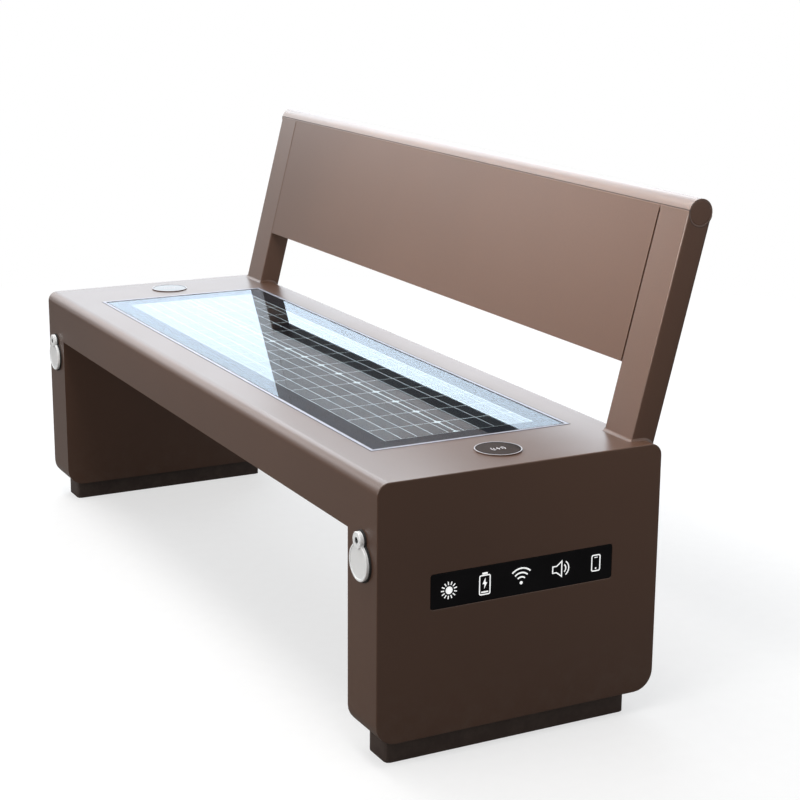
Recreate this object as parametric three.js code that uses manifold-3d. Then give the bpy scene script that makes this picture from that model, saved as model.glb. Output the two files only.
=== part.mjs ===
// A solar charging bench: a folded steel seat on two box pedestals, with a leaning backrest.
// Millimetres. X runs along the bench, Y from front to rear, Z up, and the floor is at Z = 0.
// Pieces are drawn with the body's front face at Y = 0; the last lines centre the whole bench.

import * as THREE from 'three';
import { mergeVertices } from 'three/addons/utils/BufferGeometryUtils.js';
import Module from 'manifold-3d';

const wasm = await Module();
wasm.setup();

// Body
const benchLength = 1600;
const bodyDepth = 505;
const seatHeight = 457;
const sheet = 2.5;
const endSheet = 3;
const seatBend = 20;
const footBend = 34;
const fasciaDrop = 94;
const pedestalWidth = 98.5;
const returnFlange = 24;

// Clearances
const fit = 0.3;
const overrun = 6;

// Plinths
const plinthHeight = 39;
const plinthSideInset = 18;
const plinthFrontInset = 26;
const plinthRearInset = 41;
const plinthWall = 3;
const plinthBase = 4;
const plinthCorner = 8;
const anchorInset = 55;
const anchorHoleRadius = 6.5;
const anchorAccessRadius = 17;

// Underside cover of the seat, with its two speaker grilles
const soffitSheet = 2;
const soffitInset = 5;
const grilleHoleRadius = 3.2;
const grilleRingPitch = 11;
const speakerInset = 180;
const speakerRadius = 42;
const speakerFlange = 3;
const speakerBasketRadius = 35;
const speakerBasketHeight = 20;
const speakerNeckRadius = 20;
const magnetRadius = 27;
const magnetHeight = 15;

// Rear service covers of the pedestals
const hatchWidth = 56;
const hatchHeight = 190;
const hatchRise = 176;
const hatchCorner = 6;
const hatchLap = 8;
const hatchSheet = 2;

// Solar panel, set flush in the seat
const panelEndInset = 160;
const panelEdgeInset = 70.5;
const trimWidth = 5.5;
const trimProud = 0.6;
const glassThickness = 5;
const cellSheetThickness = 1.2;
const sealThickness = 2;
const traySheet = 2;
const trayFlange = 16;
const trayLedge = 30;
const junctionBoxLength = 110;
const junctionBoxWidth = 80;
const junctionBoxHeight = 20;
const junctionBoxOffset = 200;
const junctionBoxCorner = 5;

// Channels that carry the solar panel from front to rear
const channelWidth = 40;
const channelHeight = 30;
const channelPitch = 400;

// Wireless charging pads
const padEndInset = 82;
const padRadius = 35.5;
const padHeight = 1.6;
const padRingWidth = 2.5;
const padRingHeight = 2;
const padNeckRadius = 29;
const padNeckDepth = 24;
const padNutWidth = 7;
const padNutHeight = 6;
const padGlandRadius = 6;
const padGlandLength = 8;

// Charging sockets with their swinging covers
const socketBelowSoffit = 40.5;
const pivotRise = 35;
const coverRadius = 30;
const coverThickness = 4.5;
const coverBossRadius = 13.5;
const coverBossThickness = 6.6;
const coverRim = 3.2;
const coverDish = 1;
const coverEdge = 0.8;
const basePlateMargin = 2;
const basePlateThickness = 3;
const socketFlangeRadius = 25;
const socketFlangeThickness = 2.6;
const socketBodyRadius = 20;
const socketBodyDepth = 34;
const portWidth = 13.4;
const portHeight = 5.8;
const portDepth = 14;
const portPitch = 12;
const lockNutWidth = 6;
const lockNutThickness = 6;
const pivotHeadRadius = 5;
const pivotHeadThickness = 2.4;
const pivotShankRadius = 3;
const pivotTail = 8;

// Status display in the right end plate
const displayFrontInset = 90.5;
const displayLength = 327;
const displayHeight = 56.5;
const displayBelowSeat = 183.25;
const displayCorner = 4;
const displayFlange = 9;
const displayFlangeThickness = 3;
const boardMargin = 6;
const boardThickness = 1.6;
const lampPitch = 66;
const lampSize = 8;
const lampHeight = 5;

// Backrest
const lean = THREE.MathUtils.degToRad(14.4);
const postSetback = 42;
const postInset = 25.5;
const postWidth = 77;
const postRise = 374.8;
const postWall = 2.5;
const postEdge = 3;
const postFoot = 6;
const railDiameter = 45;
const railWall = 2.5;
const railCapThickness = 3;
const panelRise = 115.5;
const panelWall = 2;
const panelSeam = 1.5;

// Bracket and bolts under each backrest post
const bracketSheet = 4;
const bracketMargin = 14;
const bracketLeg = 78;
const bracketDrop = 72;
const gussetSheet = 4;
const gussetSize = 48;
const boltRadius = 5;
const boltSpacing = 44;
const boltSetback = 12;
const boltHeadRadius = 9.2;
const boltHeadHeight = 6.4;
const boltTip = 3;

// Battery in the left pedestal
const batterySideGap = 6.5;
const batteryLength = 190;
const batteryHeight = 170;
const batteryCorner = 6;
const terminalRadius = 6;
const terminalHeight = 10;
const terminalAcross = 25;
const terminalAlong = 60;
const strapWidth = 28;
const strapSheet = 2;
const strapFoot = 22;

// Electronics on the right pedestal's inner plate
const controllerDepth = 30;
const controllerLength = 150;
const controllerHeight = 90;
const controllerRise = 160;
const finDepth = 10;
const finThickness = 3;
const finPitch = 12;
const moduleDepth = 26;
const moduleLength = 104;
const moduleHeight = 66;
const moduleRise = 62;
const moduleGap = 30;
const moduleCorner = 5;
const connectorSize = 12;
const connectorPitch = 24;
const connectorDrop = 7;

// Leads that the housing holds
const leadRadius = 3;
const runShare = 0.29;

// Facets
const bendSteps = 6;
const edgeSteps = 2;
const roundSides = 28;
const smallSides = 12;
const leadSides = 8;

// Planes and places that follow from the sizes above
const halfLength = benchLength / 2;
const legSpaceHalf = halfLength - pedestalWidth;
const soffit = seatHeight - fasciaDrop;
const middleY = bodyDepth / 2;
const pedestalInside = legSpaceHalf + sheet;
const endInside = halfLength - endSheet;
const pedestalMiddle = (pedestalInside + endInside) / 2;
const pedestalFloor = plinthHeight + sheet;
const trayFloor = seatHeight - glassThickness - cellSheetThickness - sealThickness;
const channelTop = trayFloor - traySheet;
const panelHalfLength = halfLength - panelEndInset;
const panelHalfWidth = middleY - panelEdgeInset;
const socketX = halfLength - pedestalWidth / 2;
const socketZ = soffit - socketBelowSoffit;
const pivotZ = socketZ + pivotRise;
const displayY = displayFrontInset + displayLength / 2;
const displayZ = seatHeight - displayBelowSeat;
const railRadius = railDiameter / 2;
const postOuter = halfLength - postInset;
const postInner = postOuter - postWidth;
const postMiddle = (postOuter + postInner) / 2;
const postFront = bodyDepth - postSetback;
const boltY = postFront + boltSetback;
const bracketTop = seatHeight - sheet - fit;
const coverBack = -(basePlateThickness + fit);
const frontReach = coverBossThickness - coverBack;
const railY = postFront + postRise * Math.sin(lean) + railRadius * Math.cos(lean);
const rearReach = railY + railRadius;
const controllerTop = pedestalFloor + controllerRise + controllerHeight;
const terminalTop = pedestalFloor + batteryHeight + terminalHeight;
const sides = [{ name: 'left', sign: -1 }, { name: 'right', sign: 1 }];

const finishes = {
  paint: { color: 0x5f4a41, roughness: 0.4, metalness: 0.25 },
  darkPaint: { color: 0x2b201d, roughness: 0.6, metalness: 0.2 },
  plainSteel: { color: 0x9a9c9e, roughness: 0.45, metalness: 0.9 },
  glass: { color: 0xdfe9ee, roughness: 0.05, metalness: 0 },
  cells: { color: 0x14181c, roughness: 0.3, metalness: 0.1 },
  silver: { color: 0xe2e4e6, roughness: 0.3, metalness: 0.8 },
  blackPlastic: { color: 0x151515, roughness: 0.4, metalness: 0 },
  blackGlass: { color: 0x08090a, roughness: 0.12, metalness: 0 },
  whitePlastic: { color: 0xeef1f2, roughness: 0.25, metalness: 0 },
  rubber: { color: 0x101010, roughness: 0.8, metalness: 0 },
  board: { color: 0x1d4a2c, roughness: 0.5, metalness: 0 },
  battery: { color: 0x2d4f8a, roughness: 0.5, metalness: 0 },
  greyPlastic: { color: 0x5a5d60, roughness: 0.5, metalness: 0 },
};

// Turns a closed geometry into a solid that can be joined and cut
function solidOf(shape) {
  if (shape instanceof wasm.Manifold) return shape;
  const bare = new THREE.BufferGeometry();
  bare.setAttribute('position', shape.getAttribute('position'));
  bare.setIndex(shape.getIndex());
  const merged = mergeVertices(bare);
  const corners = Array.from(merged.getIndex().array);
  const kept = [];
  for (let i = 0; i < corners.length; i += 3) {
    const [a, b, c] = corners.slice(i, i + 3);
    if (a !== b && b !== c && c !== a) kept.push(a, b, c);
  }
  return new wasm.Manifold(new wasm.Mesh({
    numProp: 3,
    vertProperties: new Float32Array(merged.getAttribute('position').array),
    triVerts: new Uint32Array(kept),
  }));
}

// Joins the pieces into one solid and takes the cutters out of it
function carve(pieces, cutters = []) {
  let body = solidOf(pieces[0]);
  for (const piece of pieces.slice(1)) body = body.add(solidOf(piece));
  for (const cutter of cutters) body = body.subtract(solidOf(cutter));
  return body;
}

function geometryOf(body) {
  const mesh = body.getMesh();
  const geometry = new THREE.BufferGeometry();
  geometry.setAttribute('position', new THREE.BufferAttribute(new Float32Array(mesh.vertProperties), 3));
  geometry.setIndex(Array.from(mesh.triVerts));
  geometry.computeVertexNormals();
  return geometry;
}

// Adds one named piece to a group
function addPiece(group, name, finish, shape, x = 0, y = 0, z = 0) {
  const geometry = shape instanceof wasm.Manifold ? geometryOf(shape) : shape;
  const mesh = new THREE.Mesh(geometry, new THREE.MeshStandardMaterial(finishes[finish]));
  mesh.name = name;
  mesh.position.set(x, y, z);
  group.add(mesh);
}

// An outline from corners given as [u, v, radius], with each radius drawn as an arc
function outline(corners, steps = bendSteps) {
  const points = [];
  corners.forEach(([u, v, radius], i) => {
    const here = new THREE.Vector2(u, v);
    if (!radius) {
      points.push(here);
      return;
    }
    const last = corners.at(i - 1);
    const next = corners[(i + 1) % corners.length];
    const toLast = new THREE.Vector2(last[0], last[1]).sub(here).normalize();
    const toNext = new THREE.Vector2(next[0], next[1]).sub(here).normalize();
    const half = Math.acos(toLast.dot(toNext)) / 2;
    const middle = toLast.clone().add(toNext).normalize();
    const centre = here.clone().addScaledVector(middle, radius / Math.sin(half));
    const start = here.clone().addScaledVector(toLast, radius / Math.tan(half)).sub(centre);
    const turn = Math.sign(toNext.cross(toLast)) * (Math.PI - 2 * half);
    for (let k = 0; k <= steps; k += 1) {
      const angle = (turn * k) / steps;
      points.push(start.clone().rotateAround(new THREE.Vector2(), angle).add(centre));
    }
  });
  return new THREE.Shape(points);
}

function rectangle(u0, u1, v0, v1, radius = 0, steps = edgeSteps) {
  return outline([[u0, v0, radius], [u1, v0, radius], [u1, v1, radius], [u0, v1, radius]], steps);
}

function circle(u, v, radius, count = roundSides) {
  const points = [];
  for (let k = 0; k < count; k += 1) {
    const angle = (2 * Math.PI * k) / count;
    points.push(new THREE.Vector2(u + radius * Math.cos(angle), v + radius * Math.sin(angle)));
  }
  return new THREE.Shape(points);
}

function extrude(shape, depth) {
  return new THREE.ExtrudeGeometry(shape, { depth, bevelEnabled: false, steps: 1 });
}

const axisX = new THREE.Vector3(1, 0, 0);
const axisY = new THREE.Vector3(0, 1, 0);
const axisZ = new THREE.Vector3(0, 0, 1);

// A bar along X from an outline in Y and Z
function alongX(shape, x0, x1) {
  const turned = new THREE.Matrix4().makeBasis(axisY, axisZ, axisX);
  return extrude(shape, x1 - x0).applyMatrix4(turned).translate(x0, 0, 0);
}

// A bar along Y from an outline in X and Z
function alongY(shape, y0, y1) {
  const turned = new THREE.Matrix4().makeBasis(axisX, axisZ, axisY.clone().negate());
  return extrude(shape, y1 - y0).applyMatrix4(turned).translate(0, y1, 0);
}

// A plate or post along Z from an outline in X and Y
function alongZ(shape, z0, z1) {
  return extrude(shape, z1 - z0).translate(0, 0, z0);
}

function block(x0, x1, y0, y1, z0, z1) {
  const size = new THREE.BoxGeometry(x1 - x0, y1 - y0, z1 - z0);
  return size.translate((x0 + x1) / 2, (y0 + y1) / 2, (z0 + z1) / 2);
}

// A solid of revolution about Z, from [radius, height] pairs that start and end on the axis
function turnedAboutZ(profile, count = roundSides) {
  const points = profile.map(([radius, height]) => new THREE.Vector2(radius, height));
  return new THREE.LatheGeometry(points, count).rotateX(Math.PI / 2);
}

// A flat ring about Z
function ring(inner, outer, z0, z1, count = roundSides) {
  const shape = circle(0, 0, outer, count);
  shape.holes.push(circle(0, 0, inner, count));
  return alongZ(shape, z0, z1);
}

// The side outline of the body, drawn inwards by the given inset
function bodyOutline(inset) {
  const front = inset;
  const rear = bodyDepth - inset;
  const top = seatHeight - inset;
  const bottom = plinthHeight + inset;
  return outline([
    [front, bottom, footBend - inset],
    [rear, bottom, footBend - inset],
    [rear, top, seatBend - inset],
    [front, top, seatBend - inset],
  ]);
}

// A folded skin between two insets of the body outline
function bodySkin(outerInset, innerInset, x0, x1) {
  const skin = bodyOutline(outerInset);
  skin.holes.push(bodyOutline(innerInset));
  return alongX(skin, x0, x1);
}

// Everything above or below one height, as a cutter
function slabAbove(height) {
  return block(-benchLength, benchLength, -bodyDepth, 2 * bodyDepth, height, height + seatHeight);
}

function slabBelow(height) {
  return block(-benchLength, benchLength, -bodyDepth, 2 * bodyDepth, height - seatHeight, height);
}

// Holes through the front sheet for a socket and for its cover's pivot
function socketHoles(x) {
  const body = circle(x, socketZ, socketBodyRadius + fit);
  const pivot = circle(x, pivotZ, pivotShankRadius + fit, smallSides);
  return [
    alongY(body, -overrun, sheet + overrun),
    alongY(pivot, -overrun, pivotTail + overrun),
  ];
}

function boltHoles(z0, z1) {
  return sides.flatMap(({ sign }) => sides.map((row) => {
    const x = sign * postMiddle + (row.sign * boltSpacing) / 2;
    return alongZ(circle(x, boltY, boltRadius + fit, smallSides), z0, z1);
  }));
}

// Seat: front fascia, top and rear fascia in one sheet, with flanges turned in below
function seatBeamShell() {
  const flanges = [
    block(-endInside, endInside, sheet / 2, returnFlange, soffit, soffit + sheet),
    block(-endInside, endInside, bodyDepth - returnFlange, bodyDepth - sheet / 2, soffit, soffit + sheet),
  ];
  const opening = rectangle(-panelHalfLength, panelHalfLength, panelEdgeInset, bodyDepth - panelEdgeInset);
  const above = seatHeight + overrun;
  const below = seatHeight - sheet - overrun;
  const padHoles = sides.map(({ sign }) => {
    const x = sign * (halfLength - padEndInset);
    return alongZ(circle(x, middleY, padNeckRadius + fit), below, above);
  });
  return carve(
    [carve([bodySkin(0, sheet, -endInside, endInside)], [slabBelow(soffit)]), ...flanges],
    [
      alongZ(opening, below, above),
      ...padHoles,
      ...boltHoles(below, above),
      ...sides.flatMap(({ sign }) => socketHoles(sign * socketX)),
    ],
  );
}

// Pedestal: front, rounded foot corners, floor and rear in one sheet
function pedestalWrap(sign) {
  const half = (endInside - pedestalInside) / 2;
  const hatchFloor = plinthHeight + hatchRise - hatchHeight / 2;
  const hatch = rectangle(
    -hatchWidth / 2, hatchWidth / 2, hatchFloor, hatchFloor + hatchHeight, hatchCorner,
  );
  const anchors = anchorPlaces().map((y) => {
    const hole = circle(0, y, anchorAccessRadius);
    return alongZ(hole, plinthHeight - overrun, pedestalFloor + overrun);
  });
  return carve([bodySkin(0, sheet, -half, half)], [
    slabAbove(soffit),
    alongY(hatch, bodyDepth - sheet - overrun, bodyDepth + overrun),
    ...anchors,
    ...socketHoles(sign * (socketX - pedestalMiddle)),
  ]);
}

function pedestalInnerPlate() {
  return carve([alongX(bodyOutline(0), -sheet / 2, sheet / 2)], [slabAbove(soffit)]);
}

function endPlate(cutters = []) {
  return carve([alongX(bodyOutline(0), -endSheet / 2, endSheet / 2)], cutters);
}

function anchorPlaces() {
  return [plinthFrontInset + anchorInset, bodyDepth - plinthRearInset - anchorInset];
}

// Recessed plinth: a welded tray with anchor holes in its base
function plinth() {
  const half = pedestalWidth / 2 - plinthSideInset;
  const front = plinthFrontInset;
  const rear = bodyDepth - plinthRearInset;
  const well = rectangle(
    plinthWall - half, half - plinthWall, front + plinthWall, rear - plinthWall, plinthCorner - plinthWall,
  );
  return carve([alongZ(rectangle(-half, half, front, rear, plinthCorner), 0, plinthHeight)], [
    alongZ(well, plinthBase, plinthHeight + overrun),
    ...anchorPlaces().map((y) => alongZ(circle(0, y, anchorHoleRadius, smallSides), -overrun, overrun)),
  ]);
}

function serviceCover() {
  const half = hatchWidth / 2 + hatchLap;
  const low = plinthHeight + hatchRise - hatchHeight / 2 - hatchLap;
  const high = plinthHeight + hatchRise + hatchHeight / 2 + hatchLap;
  return alongY(rectangle(-half, half, low, high, hatchCorner), bodyDepth, bodyDepth + hatchSheet);
}

// Holes of one grille: a middle hole and rings of holes round it
function grilleHoles(x) {
  const holes = [circle(x, middleY, grilleHoleRadius, 6)];
  const rings = Math.floor((speakerBasketRadius - grilleHoleRadius) / grilleRingPitch);
  for (let k = 1; k <= rings; k += 1) {
    const count = 6 * k;
    for (let i = 0; i < count; i += 1) {
      const angle = (2 * Math.PI * i) / count;
      const reach = k * grilleRingPitch;
      const hole = circle(
        x + reach * Math.cos(angle), middleY + reach * Math.sin(angle), grilleHoleRadius, 6,
      );
      holes.push(hole);
    }
  }
  return holes;
}

function soffitCover() {
  const half = legSpaceHalf - fit;
  const plate = rectangle(-half, half, soffitInset, bodyDepth - soffitInset);
  for (const { sign } of sides) plate.holes.push(...grilleHoles(sign * (legSpaceHalf - speakerInset)));
  return alongZ(plate, soffit - soffitSheet, soffit);
}

// Loudspeaker that stands face down on the underside cover
function speaker() {
  const basketTop = speakerFlange + speakerBasketHeight;
  return turnedAboutZ([
    [0, speakerFlange],
    [speakerNeckRadius, speakerFlange],
    [speakerBasketRadius, 0],
    [speakerRadius, 0],
    [speakerRadius, speakerFlange],
    [speakerBasketRadius, speakerFlange],
    [magnetRadius, basketTop],
    [magnetRadius, basketTop + magnetHeight],
    [0, basketTop + magnetHeight],
  ]);
}

// Downward-open channel from fascia to fascia, coped to the seat's bends
function crossChannel() {
  const half = channelWidth / 2;
  const low = channelTop - channelHeight;
  const web = block(-half, half, sheet + fit, bodyDepth - sheet - fit, low, channelTop);
  const hollow = block(sheet - half, half - sheet, 0, bodyDepth, low - overrun, channelTop - sheet);
  return carve([web], [hollow, bodySkin(-overrun, sheet + fit, -channelWidth, channelWidth)]);
}

// Windows of the tray and seal, between the channels
function panelWindows() {
  const far = panelHalfLength - trayLedge;
  const bars = [-channelPitch, 0, channelPitch];
  const lefts = [-far, ...bars.map((x) => x + channelWidth / 2)];
  const rights = [...bars.map((x) => x - channelWidth / 2), far];
  const reach = panelHalfWidth - trayLedge;
  return lefts.map((left, i) => rectangle(left, rights[i], middleY - reach, middleY + reach));
}

function panelOutline(grow) {
  const halfX = panelHalfLength + grow;
  const halfY = panelHalfWidth + grow;
  return rectangle(-halfX, halfX, middleY - halfY, middleY + halfY);
}

// Tray under the opening: floor, walls and a flange against the underside of the seat
function panelTray() {
  const flangeTop = seatHeight - sheet;
  return carve(
    [
      alongZ(panelOutline(traySheet), channelTop, flangeTop),
      alongZ(panelOutline(trayFlange), flangeTop - traySheet, flangeTop),
    ],
    [
      alongZ(panelOutline(0), trayFloor, seatHeight),
      ...panelWindows().map((window) => alongZ(window, channelTop - overrun, seatHeight)),
    ],
  );
}

function panelSeal() {
  const cutters = panelWindows().map((window) => alongZ(window, trayFloor - overrun, seatHeight));
  return carve([panelSheet(trayFloor, sealThickness)], cutters);
}

function panelTrim() {
  const trim = panelOutline(-fit);
  trim.holes.push(panelOutline(-(fit + trimWidth)));
  return alongZ(trim, trayFloor, seatHeight + trimProud);
}

function panelSheet(bottom, thickness) {
  return alongZ(panelOutline(-(fit + trimWidth + fit)), bottom, bottom + thickness);
}

function junctionBox() {
  const halfX = junctionBoxLength / 2;
  const halfY = junctionBoxWidth / 2;
  const top = trayFloor + sealThickness;
  const box = rectangle(-halfX, halfX, middleY - halfY, middleY + halfY, junctionBoxCorner);
  return alongZ(box, top - junctionBoxHeight, top);
}

// Charging pad: a thin disc on the seat with a threaded neck through it
function chargePad() {
  const bottom = -sheet - padNeckDepth;
  return turnedAboutZ([
    [0, bottom - padGlandLength],
    [padGlandRadius, bottom - padGlandLength],
    [padGlandRadius, bottom],
    [padNeckRadius, bottom],
    [padNeckRadius, 0],
    [padRadius, 0],
    [padRadius, padHeight],
    [0, padHeight],
  ]);
}

function chargePadRing() {
  const inner = padRadius + fit;
  return ring(inner, inner + padRingWidth, 0, padRingHeight);
}

function chargePadNut() {
  const inner = padNeckRadius + fit;
  return ring(inner, inner + padNutWidth, -sheet - padNutHeight, -sheet);
}

// Base plate behind a cover: a disc and a smaller disc above it
function socketBasePlate() {
  const big = circle(0, 0, coverRadius + basePlateMargin);
  const small = circle(0, pivotRise, coverBossRadius + basePlateMargin);
  const window = circle(0, 0, socketFlangeRadius + fit);
  const hole = circle(0, pivotRise, pivotShankRadius + fit, smallSides);
  const front = -basePlateThickness - overrun;
  return carve(
    [alongY(big, -basePlateThickness, 0), alongY(small, -basePlateThickness, 0)],
    [alongY(window, front, overrun), alongY(hole, front, overrun)],
  );
}

// Socket: flange, round body through the sheet and two ports one above the other
function chargingSocket() {
  const ports = [-portPitch / 2, portPitch / 2].map((height) => {
    const mouth = rectangle(-portWidth / 2, portWidth / 2, height - portHeight / 2, height + portHeight / 2);
    return alongY(mouth, -socketFlangeThickness - overrun, portDepth - socketFlangeThickness);
  });
  return carve(
    [
      alongY(circle(0, 0, socketFlangeRadius), -socketFlangeThickness, 0),
      alongY(circle(0, 0, socketBodyRadius), -socketFlangeThickness / 2, socketBodyDepth),
    ],
    ports,
  );
}

function socketLockNut() {
  const nut = circle(0, 0, socketBodyRadius + fit + lockNutWidth);
  nut.holes.push(circle(0, 0, socketBodyRadius + fit));
  return alongY(nut, sheet, sheet + lockNutThickness);
}

// A disc facing the front whose front edge is rounded off
function edgedDisc(z, radius, back, thickness) {
  const profile = [
    [0, 0],
    [radius, 0],
    [radius, thickness - coverEdge],
    [radius - coverEdge, thickness],
    [0, thickness],
  ];
  return turnedAboutZ(profile).rotateX(Math.PI / 2).translate(0, back, z);
}

// Cover: a dished disc hung from a boss, drawn about the pivot
function socketCover() {
  const dish = circle(0, -pivotRise, coverRadius - coverRim);
  const boss = edgedDisc(0, coverBossRadius, coverBack, coverBossThickness);
  const disc = edgedDisc(-pivotRise, coverRadius, coverBack, coverThickness);
  const dishFloor = coverBack - coverThickness + coverDish;
  const bossFront = coverBack - coverBossThickness;
  const headSeat = bossFront + pivotHeadThickness + fit;
  const dished = carve([disc], [alongY(dish, dishFloor - overrun, dishFloor)]);
  return carve([dished, boss], [
    alongY(circle(0, 0, pivotShankRadius + fit, smallSides), bossFront - overrun, overrun),
    alongY(circle(0, 0, pivotHeadRadius + fit), bossFront - overrun, headSeat),
  ]);
}

// Shouldered screw that the cover swings on, tapped into the pedestal's front sheet
function socketPivotScrew() {
  const headFront = coverBack - coverBossThickness;
  const headBack = headFront + pivotHeadThickness;
  return carve([
    alongY(circle(0, 0, pivotHeadRadius), headFront, headBack),
    alongY(circle(0, 0, pivotShankRadius, smallSides), headFront + pivotHeadThickness / 2, pivotTail),
  ]);
}

// Display window: fills the slot in the end plate and laps behind it
function displayWindow() {
  const halfY = displayLength / 2;
  const halfZ = displayHeight / 2;
  const face = rectangle(fit - halfY, halfY - fit, fit - halfZ, halfZ - fit, displayCorner - fit);
  const lapY = halfY + displayFlange;
  const lapZ = halfZ + displayFlange;
  const lap = rectangle(-lapY, lapY, -lapZ, lapZ, displayCorner);
  return carve([
    alongX(face, -displayFlangeThickness / 2, endSheet),
    alongX(lap, -displayFlangeThickness, 0),
  ]);
}

// Circuit board behind the window, with one lamp for each sign
function displayBoard() {
  const halfY = displayLength / 2 - boardMargin;
  const halfZ = displayHeight / 2 - boardMargin;
  const front = -displayFlangeThickness - fit;
  const boardFront = front - lampHeight;
  const lamps = [-2, -1, 0, 1, 2].map((k) => {
    const middle = k * lampPitch;
    const half = lampSize / 2;
    return block(boardFront - boardThickness / 2, front, middle - half, middle + half, -half, half);
  });
  const board = block(boardFront - boardThickness, boardFront, -halfY, halfY, -halfZ, halfZ);
  return carve([board, ...lamps]);
}

// The turned frame of the backrest: Z runs up along the posts and Y into their thickness
function backrestFrame() {
  const frame = new THREE.Group();
  frame.rotation.x = -lean;
  frame.position.set(0, postFront, seatHeight);
  frame.updateMatrix();
  return frame;
}

// The seat's outside and everything below its bends, as a cutter in the backrest's frame
function seatCutter(frame, x0, x1) {
  const raised = bodyOutline(-fit);
  const inverse = frame.matrix.clone().invert();
  return carve([
    alongX(raised, x0, x1).applyMatrix4(inverse),
    slabBelow(seatHeight - seatBend).applyMatrix4(inverse),
  ]);
}

function railCutter(grow) {
  return alongX(circle(railRadius, postRise, railRadius + grow), -benchLength, benchLength);
}

// Post: a closed box section on a foot plate, scribed to the seat and saddled under the rail
function backrestPost(frame, middle) {
  const half = postWidth / 2;
  const reach = seatBend + railDiameter;
  const section = rectangle(middle - half, middle + half, 0, railDiameter, postEdge);
  const bore = rectangle(
    middle - half + postWall, middle + half - postWall, postWall, railDiameter - postWall,
  );
  const inverse = frame.matrix.clone().invert();
  const hollow = carve(
    [alongZ(bore, -reach, postRise)],
    [slabBelow(seatHeight + postFoot).applyMatrix4(inverse)],
  );
  return carve([alongZ(section, -reach, postRise)], [
    hollow,
    railCutter(fit),
    seatCutter(frame, middle - postWidth, middle + postWidth),
    ...boltHoles(seatHeight - overrun, seatHeight + postFoot + overrun).map((hole) => (
      hole.applyMatrix4(inverse)
    )),
  ]);
}

// Panel: a folded box between the posts, saddled under the rail
function backrestPanel() {
  const half = postInner - panelSeam;
  const box = rectangle(0, railDiameter, panelRise, postRise, 0);
  const hollow = rectangle(panelWall, railDiameter - panelWall, panelRise + panelWall, postRise);
  const cavity = carve([alongX(hollow, -benchLength, benchLength)], [railCutter(fit + panelWall)]);
  return carve([alongX(box, -half, half)], [cavity, railCutter(fit)]);
}

function backrestRail() {
  const tube = circle(railRadius, postRise, railRadius);
  tube.holes.push(circle(railRadius, postRise, railRadius - railWall));
  return alongX(tube, -postOuter, postOuter);
}

function railCap() {
  return alongX(circle(0, 0, railRadius - railWall - fit), -railCapThickness / 2, railCapThickness / 2);
}

// Bracket bent to the seat's rear corner, with two gussets
function postBracket() {
  const half = postWidth / 2 + bracketMargin;
  const outerInset = sheet + fit;
  const innerInset = outerInset + bracketSheet;
  const inner = bodyDepth - innerInset;
  const under = seatHeight - innerInset;
  const bent = carve([bodySkin(outerInset, innerInset, -half, half)], [
    slabBelow(seatHeight - bracketDrop),
    block(-benchLength, benchLength, -overrun, bodyDepth - bracketLeg, 0, seatHeight),
  ]);
  const rib = outline([
    [inner + bracketSheet / 2, under + bracketSheet / 2, seatBend - innerInset + bracketSheet / 2],
    [inner - gussetSize, under + bracketSheet / 2],
    [inner + bracketSheet / 2, under - gussetSize],
  ]);
  const ribs = sides.map(({ sign }) => {
    const x = sign * (half - gussetSheet);
    return alongX(rib, x - gussetSheet / 2, x + gussetSheet / 2);
  });
  const holes = sides.map(({ sign }) => {
    const hole = circle((sign * boltSpacing) / 2, boltY, boltRadius + fit, smallSides);
    return alongZ(hole, under - overrun, seatHeight);
  });
  return carve([bent, ...ribs], holes);
}

// Hexagon bolt, drawn down from its head's seat
function postBolt() {
  const grip = bracketSheet + fit + sheet + postFoot + boltTip;
  return carve([
    alongZ(circle(0, 0, boltHeadRadius, 6), -boltHeadHeight, 0),
    alongZ(circle(0, 0, boltRadius, smallSides), -boltHeadHeight / 2, grip),
  ]);
}

function batteryPack() {
  const half = (endInside - pedestalInside) / 2 - batterySideGap;
  const box = rectangle(-half, half, -batteryLength / 2, batteryLength / 2, batteryCorner);
  const terminals = sides.map(({ sign }) => {
    const post = circle(terminalAcross, sign * terminalAlong, terminalRadius, smallSides);
    return alongZ(post, batteryHeight / 2, batteryHeight + terminalHeight);
  });
  return carve([alongZ(box, 0, batteryHeight), ...terminals]);
}

// Hold-down strap over the battery, with a foot at each end
function batteryStrap() {
  const half = strapWidth / 2;
  const inside = batteryLength / 2 + fit;
  const outside = inside + strapSheet;
  const top = batteryHeight + fit;
  return carve(
    [
      block(-half, half, -outside, outside, 0, top + strapSheet),
      block(-half, half, -outside - strapFoot, outside + strapFoot, 0, strapSheet),
    ],
    [block(-strapWidth, strapWidth, -inside, inside, -overrun, top)],
  );
}

// Solar charge controller with cooling fins and a row of connectors below
function chargeController() {
  const halfY = controllerLength / 2;
  const body = block(0, controllerDepth, -halfY, halfY, 0, controllerHeight);
  const finCount = Math.floor((controllerLength - finPitch) / finPitch);
  const fins = Array.from({ length: finCount }, (_, k) => {
    const y = (k - (finCount - 1) / 2) * finPitch;
    return block(
      controllerDepth / 2, controllerDepth + finDepth, y - finThickness / 2, y + finThickness / 2,
      finPitch, controllerHeight - finPitch,
    );
  });
  return carve([body, ...fins, ...connectors(controllerDepth, 4)]);
}

function connectors(depth, count) {
  return Array.from({ length: count }, (_, k) => {
    const y = (k - (count - 1) / 2) * connectorPitch;
    const half = connectorSize / 2;
    const middle = depth / 2;
    return block(middle - half, middle + half, y - half, y + half, -connectorDrop, connectorSize);
  });
}

// Boxed module with rounded long edges
function boxedModule(connectorCount) {
  const halfY = moduleLength / 2;
  const box = alongY(rectangle(0, moduleDepth, 0, moduleHeight, moduleCorner), -halfY, halfY);
  return carve([box, ...connectors(moduleDepth, connectorCount)]);
}

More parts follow.
